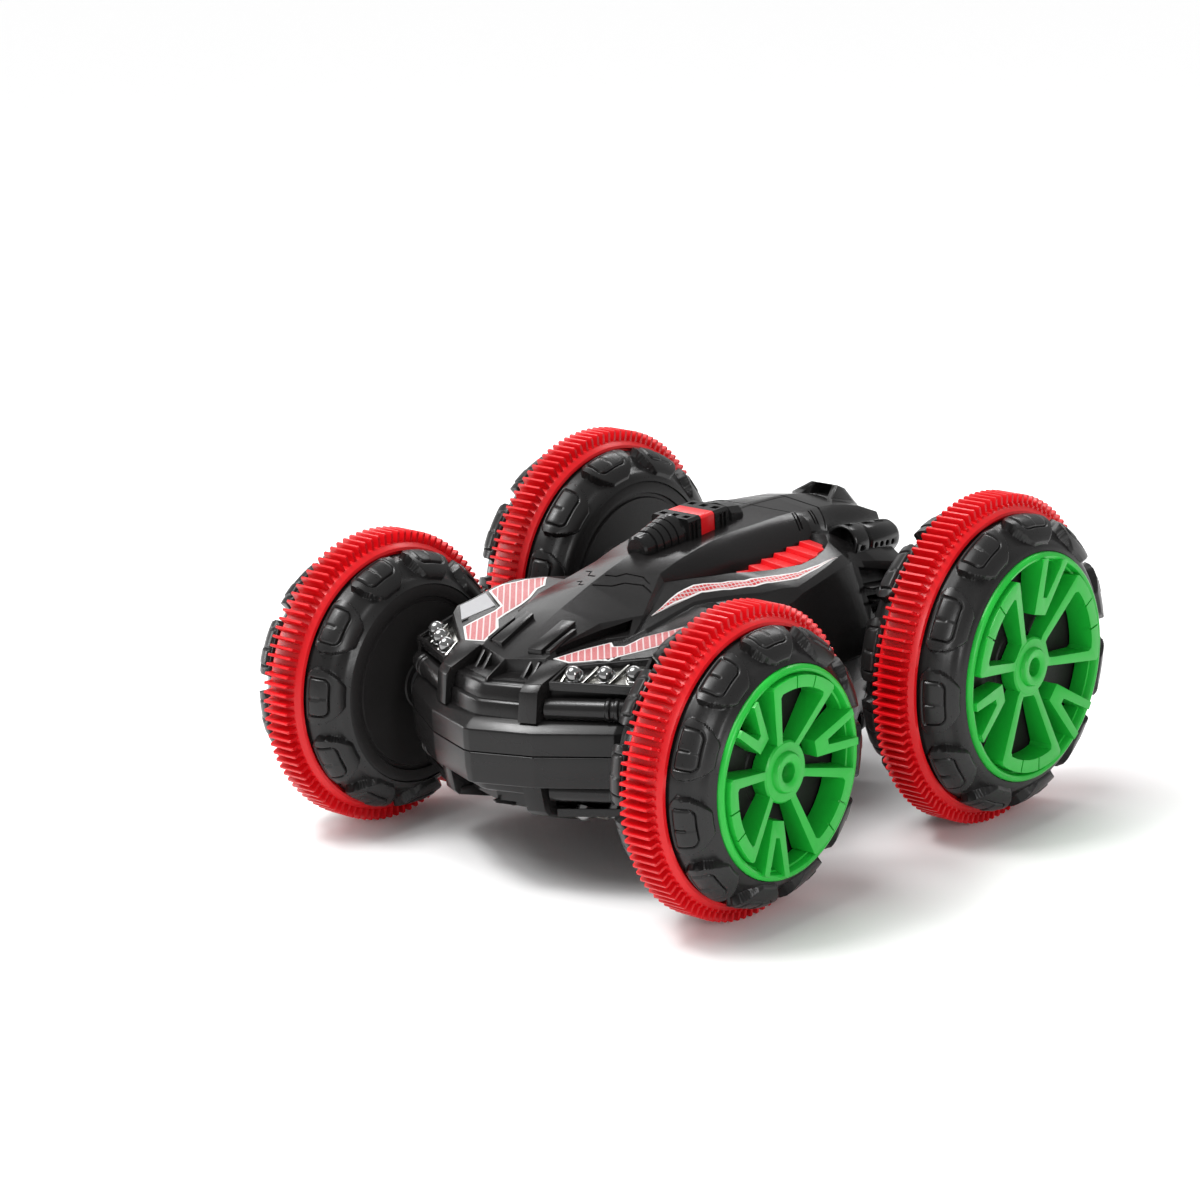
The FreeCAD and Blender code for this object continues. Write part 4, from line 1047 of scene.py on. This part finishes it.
def pod_cuts():
    """Three long slots on top and a row of dimples along the outer side."""
    start = Vector(POD_FRONT)
    along = (Vector(POD_BACK) - start).normalized()
    up = Vector((0.12, 0, 1)).normalized()
    side = along.cross(up).normalized()
    half, floor_h, top_h = 1.2, 5.9, 8.5
    cuts = []
    for a, b in ((2.0, 6.0), (12.5, 17.5), (20.0, 25.0)):
        bottom = []
        for d, w in ((a, -half), (a, half), (b, half), (b, -half)):
            bottom.append(start + along * d + side * w + up * floor_h)
        top = [p + up * (top_h - floor_h) for p in bottom]
        cuts.append(hexahedron([tuple(p) for p in bottom], [tuple(p) for p in top]))
    out = Vector((0.86, 0, -0.10)).normalized()
    for d in (3.4, 12.8, 16.4, 20.0, 23.6):
        foot = start + along * d
        cuts.append(tube_between(tuple(foot + out * 5.6), tuple(foot + out * 9.0), [(0, 1.0), (1, 1.3)], 16))
    return cuts


TEETH = 6
TEETH_FROM, TEETH_TO = 73.5, 114.0


def rail_x(index, s):
    """Where a rail of the hull lies at s."""
    line = [row[index] for row in HULL_ROWS]
    for a, b in zip(line, line[1:]):
        if a[1] <= s <= b[1]:
            return a[0] + (b[0] - a[0]) * (s - a[1]) / (b[1] - a[1])
    return line[-1][0]


TOOTH_FOOT = 27.0


def insert_data():
    """Saw-toothed panel in the gutter between cabin and side strip: steep fronts, long backs."""
    parts = []
    pitch = (TEETH_TO - TEETH_FROM) / TEETH
    for n in range(TEETH):
        a, b = TEETH_FROM + n * pitch, TEETH_FROM + (n + 1) * pitch + 0.4
        front_h = 32.7 + 0.46 * n
        outline = ((a, front_h - 1.0), (a + 0.7, front_h + 0.9), (b - 0.6, front_h - 0.1), (b, front_h - 0.4))
        loops = []
        for s, h in outline:
            inner, outer = rail_x(2, s) - 0.6, rail_x(3, s) - 0.1
            loops.append([(inner, s, TOOTH_FOOT), (inner, s, h + 0.9), (outer, s, h - 0.5),
                          (outer, s, TOOTH_FOOT)])
        parts.append(loft(loops))
    return joined(parts)


LED_PLACES = [(28.8, -18.4, 24.7), (37.4, -12.4, 24.4), (44.9, -6.6, 24.2)]
LED_AXIS = Vector((0, -0.45, 0.893))
LED_RADIUS = 2.85


TRAY_FINS = [((32.6, -19.6), (33.8, -12.0)), ((40.3, -15.0), (41.2, -5.4)), ((26.2, -22.6), (25.6, -16.8))]
FIN_HALF, FIN_FRONT_H, FIN_BACK_H = 0.45, 23.1, 26.8


def tray_fin(foot, back):
    """One upright fin of a tray."""
    (x0, s0), (x1, s1) = foot, back
    half, h0, h1 = FIN_HALF, FIN_FRONT_H, FIN_BACK_H
    return hexahedron([(x0 - half, s0, h0 - 2.5), (x0 + half, s0, h0 - 2.5), (x1 + half, s1, h1 - 3.5),
                       (x1 - half, s1, h1 - 3.5)],
                      [(x0 - half, s0 + 0.3, h0), (x0 + half, s0 + 0.3, h0), (x1 + half, s1, h1),
                       (x1 - half, s1, h1)])


def tray_data():
    """Chrome floor of one tray with its upright fins."""
    floor = [(x, s, h - TRAY_SINK) for x, s, h in TRAY_IN]
    return joined([prism_down(floor, 0.8)] + [tray_fin(foot, back) for foot, back in TRAY_FINS])


def leds_data(sunk):
    """The three domed lamps of one tray."""
    profile = [(0.0, LED_RADIUS + 0.35), (1.5, LED_RADIUS + 0.35), (1.6, LED_RADIUS), (2.2, LED_RADIUS)]
    for k in range(1, 9):
        turn = math.pi / 2 * k / 8.3
        profile.append((2.2 + LED_RADIUS * math.sin(turn), LED_RADIUS * math.cos(turn)))
    parts = []
    for place in LED_PLACES:
        foot = Vector(place) - LED_AXIS * (1.6 + sunk)
        tip = foot + LED_AXIS * 6
        parts.append(solid_turned(tuple(foot), tuple(tip), profile, 28))
    return joined(parts)


LOWER_LED_SUNK = 2.2            # the lower lamps sit deeper, inside the line of their trays


def four(data):
    """Left, right, upper and lower copies."""
    upper = both_sides(data)
    return joined([upper, flip(upper)])


def two(data):
    return joined([data, flip(data)])


def place_body_parts():
    engine = shape("Engine", two(engine_data()))
    boolean(engine, [shape("cut", two(data)) for data in engine_slots()], "DIFFERENCE")
    bevel(engine, 0.22, 2, 30, 30)
    dress(engine, "chassis", "engine_black", "engine_covers")
    band = shape("EngineBand", two(band_data()))
    bevel(band, 0.25, 2, 30, 30)
    dress(band, "chassis", "trim_red", "engine_bands")
    pods = shape("TurbinePods", four(pod_data()))
    boolean(pods, [shape("cut", four(data)) for data in pod_cuts()], "DIFFERENCE")
    bevel(pods, 0.18, 2, 35, 35)
    dress(pods, "chassis", "engine_black", "turbine_pods")
    insert = shape("SideInserts", four(insert_data()))
    bevel(insert, 0.12, 1, 30, 30)
    dress(insert, "chassis", "trim_red", "side_inserts")
    trays = shape("HeadlightTrays", four(tray_data()))
    bevel(trays, 0.12, 2, 30, 30)
    dress(trays, "chassis", "reflector_chrome", "headlight_reflectors")
    leds = joined([both_sides(leds_data(0)), flip(both_sides(leds_data(LOWER_LED_SUNK)))])
    dress(shape("HeadlightLeds", leds), "chassis", "lens_clear", "headlight_leds")


place_body_parts()

# ---- printed stickers and a painted sheen ----


def inset(loop, distance):
    """The loop moved inwards by a distance, with mitred corners."""
    area = sum(a[0] * b[1] - b[0] * a[1] for a, b in zip(loop, loop[1:] + loop[:1]))
    turn = 1 if area > 0 else -1
    result = []
    for k, p in enumerate(loop):
        before, after = loop[k - 1], loop[(k + 1) % len(loop)]
        one = Vector((p[0] - before[0], p[1] - before[1])).normalized()
        two = Vector((after[0] - p[0], after[1] - p[1])).normalized()
        n1, n2 = Vector((-one.y, one.x)) * turn, Vector((-two.y, two.x)) * turn
        mid = (n1 + n2).normalized()
        reach = min(distance / max(mid.dot(n1), 0.25), 3 * distance)
        result.append((p[0] + mid.x * reach, p[1] + mid.y * reach))
    return result


SHEET_THICK, SHEET_STEP = 0.5, 1.5


def sheet_data(outline, rise):
    """A thin sheet that follows the hull under an outline of (x, s)."""
    work = bmesh.new()
    work.faces.new([work.verts.new((x, s, 0)) for x, s in outline])
    for axis, normal in enumerate(((1, 0, 0), (0, 1, 0))):
        values = [p[axis] for p in outline]
        for k in range(math.ceil(min(values) / SHEET_STEP), math.floor(max(values) / SHEET_STEP) + 1):
            cut = [k * SHEET_STEP * n for n in normal]
            bmesh.ops.bisect_plane(work, geom=work.verts[:] + work.edges[:] + work.faces[:], plane_co=cut,
                                   plane_no=normal, dist=1e-5)
    bmesh.ops.triangulate(work, faces=work.faces[:])
    bmesh.ops.recalc_face_normals(work, faces=work.faces[:])
    work.verts.ensure_lookup_table()
    top = [(v.co.x, v.co.y, SKIN.h(v.co.x, v.co.y) + rise) for v in work.verts]
    bottom = [(x, s, h - SHEET_THICK) for x, s, h in top]
    count = len(top)
    faces = []
    for face in work.faces:
        loop = [v.index for v in face.verts]
        if face.normal.z < 0:
            loop.reverse()
        faces.append(tuple(loop))
        faces.append(tuple(count + k for k in reversed(loop)))
    for edge in work.edges:
        if edge.is_boundary:
            a, b = (v.index for v in edge.verts)
            faces.append((a, b, count + b, count + a))
    work.free()
    return top + bottom, faces


def math_node(tree, operation, *values):
    """The output of a math node; each value is a number or another node's output."""
    node = tree.nodes.new("ShaderNodeMath")
    node.operation = operation
    for socket, value in zip(node.inputs, values):
        if isinstance(value, float):
            socket.default_value = value
        else:
            tree.links.new(value, socket)
    return node.outputs[0]


def stripes(tree, place, direction, period, share):
    """1 over a share of every period (mm) along a direction."""
    dot = tree.nodes.new("ShaderNodeVectorMath")
    dot.operation = "DOT_PRODUCT"
    tree.links.new(place.outputs["Object"], dot.inputs[0])
    dot.inputs[1].default_value = [c / (period * MM) for c in direction]
    return math_node(tree, "LESS_THAN", math_node(tree, "FRACT", dot.outputs["Value"]), share)


def printed(name, ink, ground, along, pitch, gap, cell, cell_gap):
    """Printed film: ink columns with gaps between them, cut into cells, over a ground colour."""
    material = plastic(name, ink, 0.36, 0.05, 0.02, 900, 0.04, shine=0.35)
    tree = material.node_tree
    colour = tree.nodes["Principled BSDF"].inputs["Base Color"]
    inked = colour.links[0].from_socket
    place = tree.nodes.new("ShaderNodeTexCoord")
    between = stripes(tree, place, (along[1], -along[0], 0), pitch, gap / pitch)
    across = stripes(tree, place, (*along, 0), cell, cell_gap / cell)
    mix = tree.nodes.new("ShaderNodeMix")
    mix.data_type = "RGBA"
    tree.links.new(math_node(tree, "MAXIMUM", between, across), mix.inputs["Factor"])
    tree.links.new(inked, mix.inputs["A"])
    mix.inputs["B"].default_value = (*ground, 1)
    tree.links.new(mix.outputs["Result"], colour)
    return material


STICKER_WHITE = plastic("sticker_white", (0.66, 0.65, 0.64), 0.36, 0.03, 0.02, 900, 0.04, shine=0.35)
# Painted highlight: a light grey, slightly metallic film that stands in for a sheen of light on the far
# fender.
SHEEN_GREY = plastic("painted_sheen_grey", (0.30, 0.30, 0.31), 0.42, 0.06, 0.01, 500, 0.03, metallic=0.2)
STRIPES = printed("sticker_stripes", (0.36, 0.012, 0.018), (0.52, 0.42, 0.42), (-0.667, 0.745),
                  2.15, 0.50, 0.8, 0.16)
CELLS = printed("sticker_cells", (0.40, 0.003, 0.006), (0.46, 0.38, 0.38), (0.34, 0.94), 1.5, 0.40, 1.5, 0.40)
NEAR_STICKER = [(15.6, -13.8), (19.3, -3.5), (23.8, 6.2), (27.3, 3.3), (31.0, 4.6), (31.2, 13.9),
                (34.6, 20.4), (40.0, 27.0), (42.0, 26.0), (43.4, 14.0), (43.4, 8.1), (41.0, 3.4),
                (34.5, -7.3), (22.8, -14.4)]
FAR_STICKER = [(31.8, -7.0), (32.5, 9.5), (33.3, 13.5), (44.9, 19.9), (44.9, 27.0), (39.0, 43.6),
               (33.3, 36.3), (33.4, 32.5), (30.8, 25.8), (26.5, 4.8), (20.8, -1.2), (16.6, -12.6),
               (23.4, -14.9)]
# Outline of the painted sheen on the far fender, where light catches the black plastic; it is not a sticker.
FAR_SHEEN_PATCH = [(45.0, 5.4), (44.9, 18.2), (35.4, 12.8), (36.2, -3.2)]
STRIP_STICKER = [(23.6, 27.1), (21.2, 44.1), (21.4, 52.2), (26.4, 64.5), (32.0, 77.3), (38.3, 88.4),
                 (39.7, 98.5), (40.0, 109.0), (41.0, 96.9), (40.8, 85.3), (34.9, 73.6), (25.2, 52.2),
                 (24.2, 40.0)]


FILM_RISE, FIELD_RISE = 0.14, 0.24      # the backing and the printed field above the hull


def film(name, data, material):
    """One thin film on the body, for the printed stickers and for the painted sheen patch."""
    piece = dress(shape(name, data, 30), "chassis", "trim_red")
    piece.data.materials.clear()
    piece.data.materials.append(material)


def sticker(name, outline, side, inner_material, border=0.75):
    """White backing and the printed field on it."""
    placed = (lambda data: data) if side > 0 else mirror_x
    film(name + "_Backing", placed(sheet_data(outline, FILM_RISE)), STICKER_WHITE)
    film(name + "_Field", placed(sheet_data(inset(outline, border), FIELD_RISE)), inner_material)


sticker("FenderStickerLeft", NEAR_STICKER, 1, STRIPES)
sticker("FenderStickerRight", FAR_STICKER, -1, STRIPES)
sticker("StripStickerLeft", STRIP_STICKER, 1, CELLS, 0.6)
sticker("StripStickerRight", STRIP_STICKER, -1, CELLS, 0.6)
# Painted highlight on the far fender only: a light grey film in place of a sheen of light.
film("FenderSheenPatchRight", mirror_x(sheet_data(FAR_SHEEN_PATCH, FILM_RISE)), SHEEN_GREY)

# ---- pieces that keep their CAD mesh ----

for part in frame["record"]["subparts"]:
    node = NODES[part["node"]]
    material = MATERIALS[part["material_slot"]]
    node.data.materials.clear()
    node.data.materials.append(material)
    smooth(node, 30)

# ---- floor, light and camera ----


FLOOR_HALF = 12000.0


def build_stage():
    """A wide pale floor."""
    points = [(x, y, 0) for y in (-FLOOR_HALF, FLOOR_HALF) for x in (-FLOOR_HALF, FLOOR_HALF)]
    floor = make("Floor", points, [(0, 1, 3, 2)], 0)
    material = plastic("floor_white", (0.90, 0.90, 0.90), 0.75, 0.01, 0.02, 40, 0.04)
    floor.data.materials.append(material)


def hang(name, light, place, aim):
    """Adds a light that shines along a direction."""
    lamp = bpy.data.objects.new(name, light)
    bpy.context.scene.collection.objects.link(lamp)
    lamp.location = place
    lamp.rotation_euler = Vector(aim).to_track_quat("-Z", "Y").to_euler()


def softbox(name, place, target, size, power):
    light = bpy.data.lights.new(name, "AREA")
    light.shape = "RECTANGLE"
    light.size, light.size_y = size
    light.energy = power
    hang(name, light, place, Vector(target) - Vector(place))


WORLD_STRENGTH = 0.42
SUN_STRENGTH, SUN_SPREAD_DEG = 2.5, 50


def build_light():
    """Even white surroundings, a broad sun and five softboxes."""
    world = bpy.data.worlds.new("studio")
    bpy.context.scene.world = world
    world.use_nodes = True
    set_inputs(world.node_tree.nodes["Background"], {"Color": (1, 1, 1, 1), "Strength": WORLD_STRENGTH})
    sun = bpy.data.lights.new("Sun", "SUN")
    sun.energy = SUN_STRENGTH
    sun.angle = math.radians(SUN_SPREAD_DEG)
    hang("Sun", sun, (0, 0, 0), (0.35, 0.30, -1.0))
    softbox("Key", (-0.25, -0.45, 0.9), (0, 0, 0.05), (0.26, 0.18), 4)
    softbox("Side", (0.95, -0.55, 0.45), (0, 0, 0.05), (0.14, 0.5), 3.5)
    softbox("Rim", (-0.35, 0.75, 0.85), (0, 0, 0.06), (0.9, 0.12), 4)
    softbox("Edge", (-0.75, 0.55, 0.55), (0, 0, 0.06), (0.4, 0.6), 0.9)
    softbox("Left", (-0.95, -0.45, 0.3), (0, 0, 0.06), (0.12, 0.5), 2.5)


CAMERA_PLACE = (0.6838, -0.8027, 0.3691)
CAMERA_AZIMUTH, CAMERA_ELEVATION, CAMERA_ROLL = math.radians(41.87), math.radians(15.43), math.radians(-1.54)
CAMERA_LENS, CAMERA_SENSOR = 93.49, 36.0


def build_camera():
    azimuth, elevation, roll = CAMERA_AZIMUTH, CAMERA_ELEVATION, CAMERA_ROLL
    back = Vector((math.sin(azimuth) * math.cos(elevation), -math.cos(azimuth) * math.cos(elevation),
                   math.sin(elevation)))
    right = Vector((0, 0, 1)).cross(back).normalized()
    up = back.cross(right)
    side = right * math.cos(roll) + up * math.sin(roll)
    top = up * math.cos(roll) - right * math.sin(roll)
    lens = bpy.data.cameras.new("Camera")
    lens.lens = CAMERA_LENS
    lens.sensor_width = CAMERA_SENSOR
    lens.clip_start = 0.01
    camera = bpy.data.objects.new("Camera", lens)
    bpy.context.scene.collection.objects.link(camera)
    turn = Matrix((side, top, back)).transposed().to_4x4()
    camera.matrix_world = Matrix.Translation(CAMERA_PLACE) @ turn
    bpy.context.scene.camera = camera


bpy.context.scene.view_settings.view_transform = "Standard"
build_stage()
build_light()
build_camera()
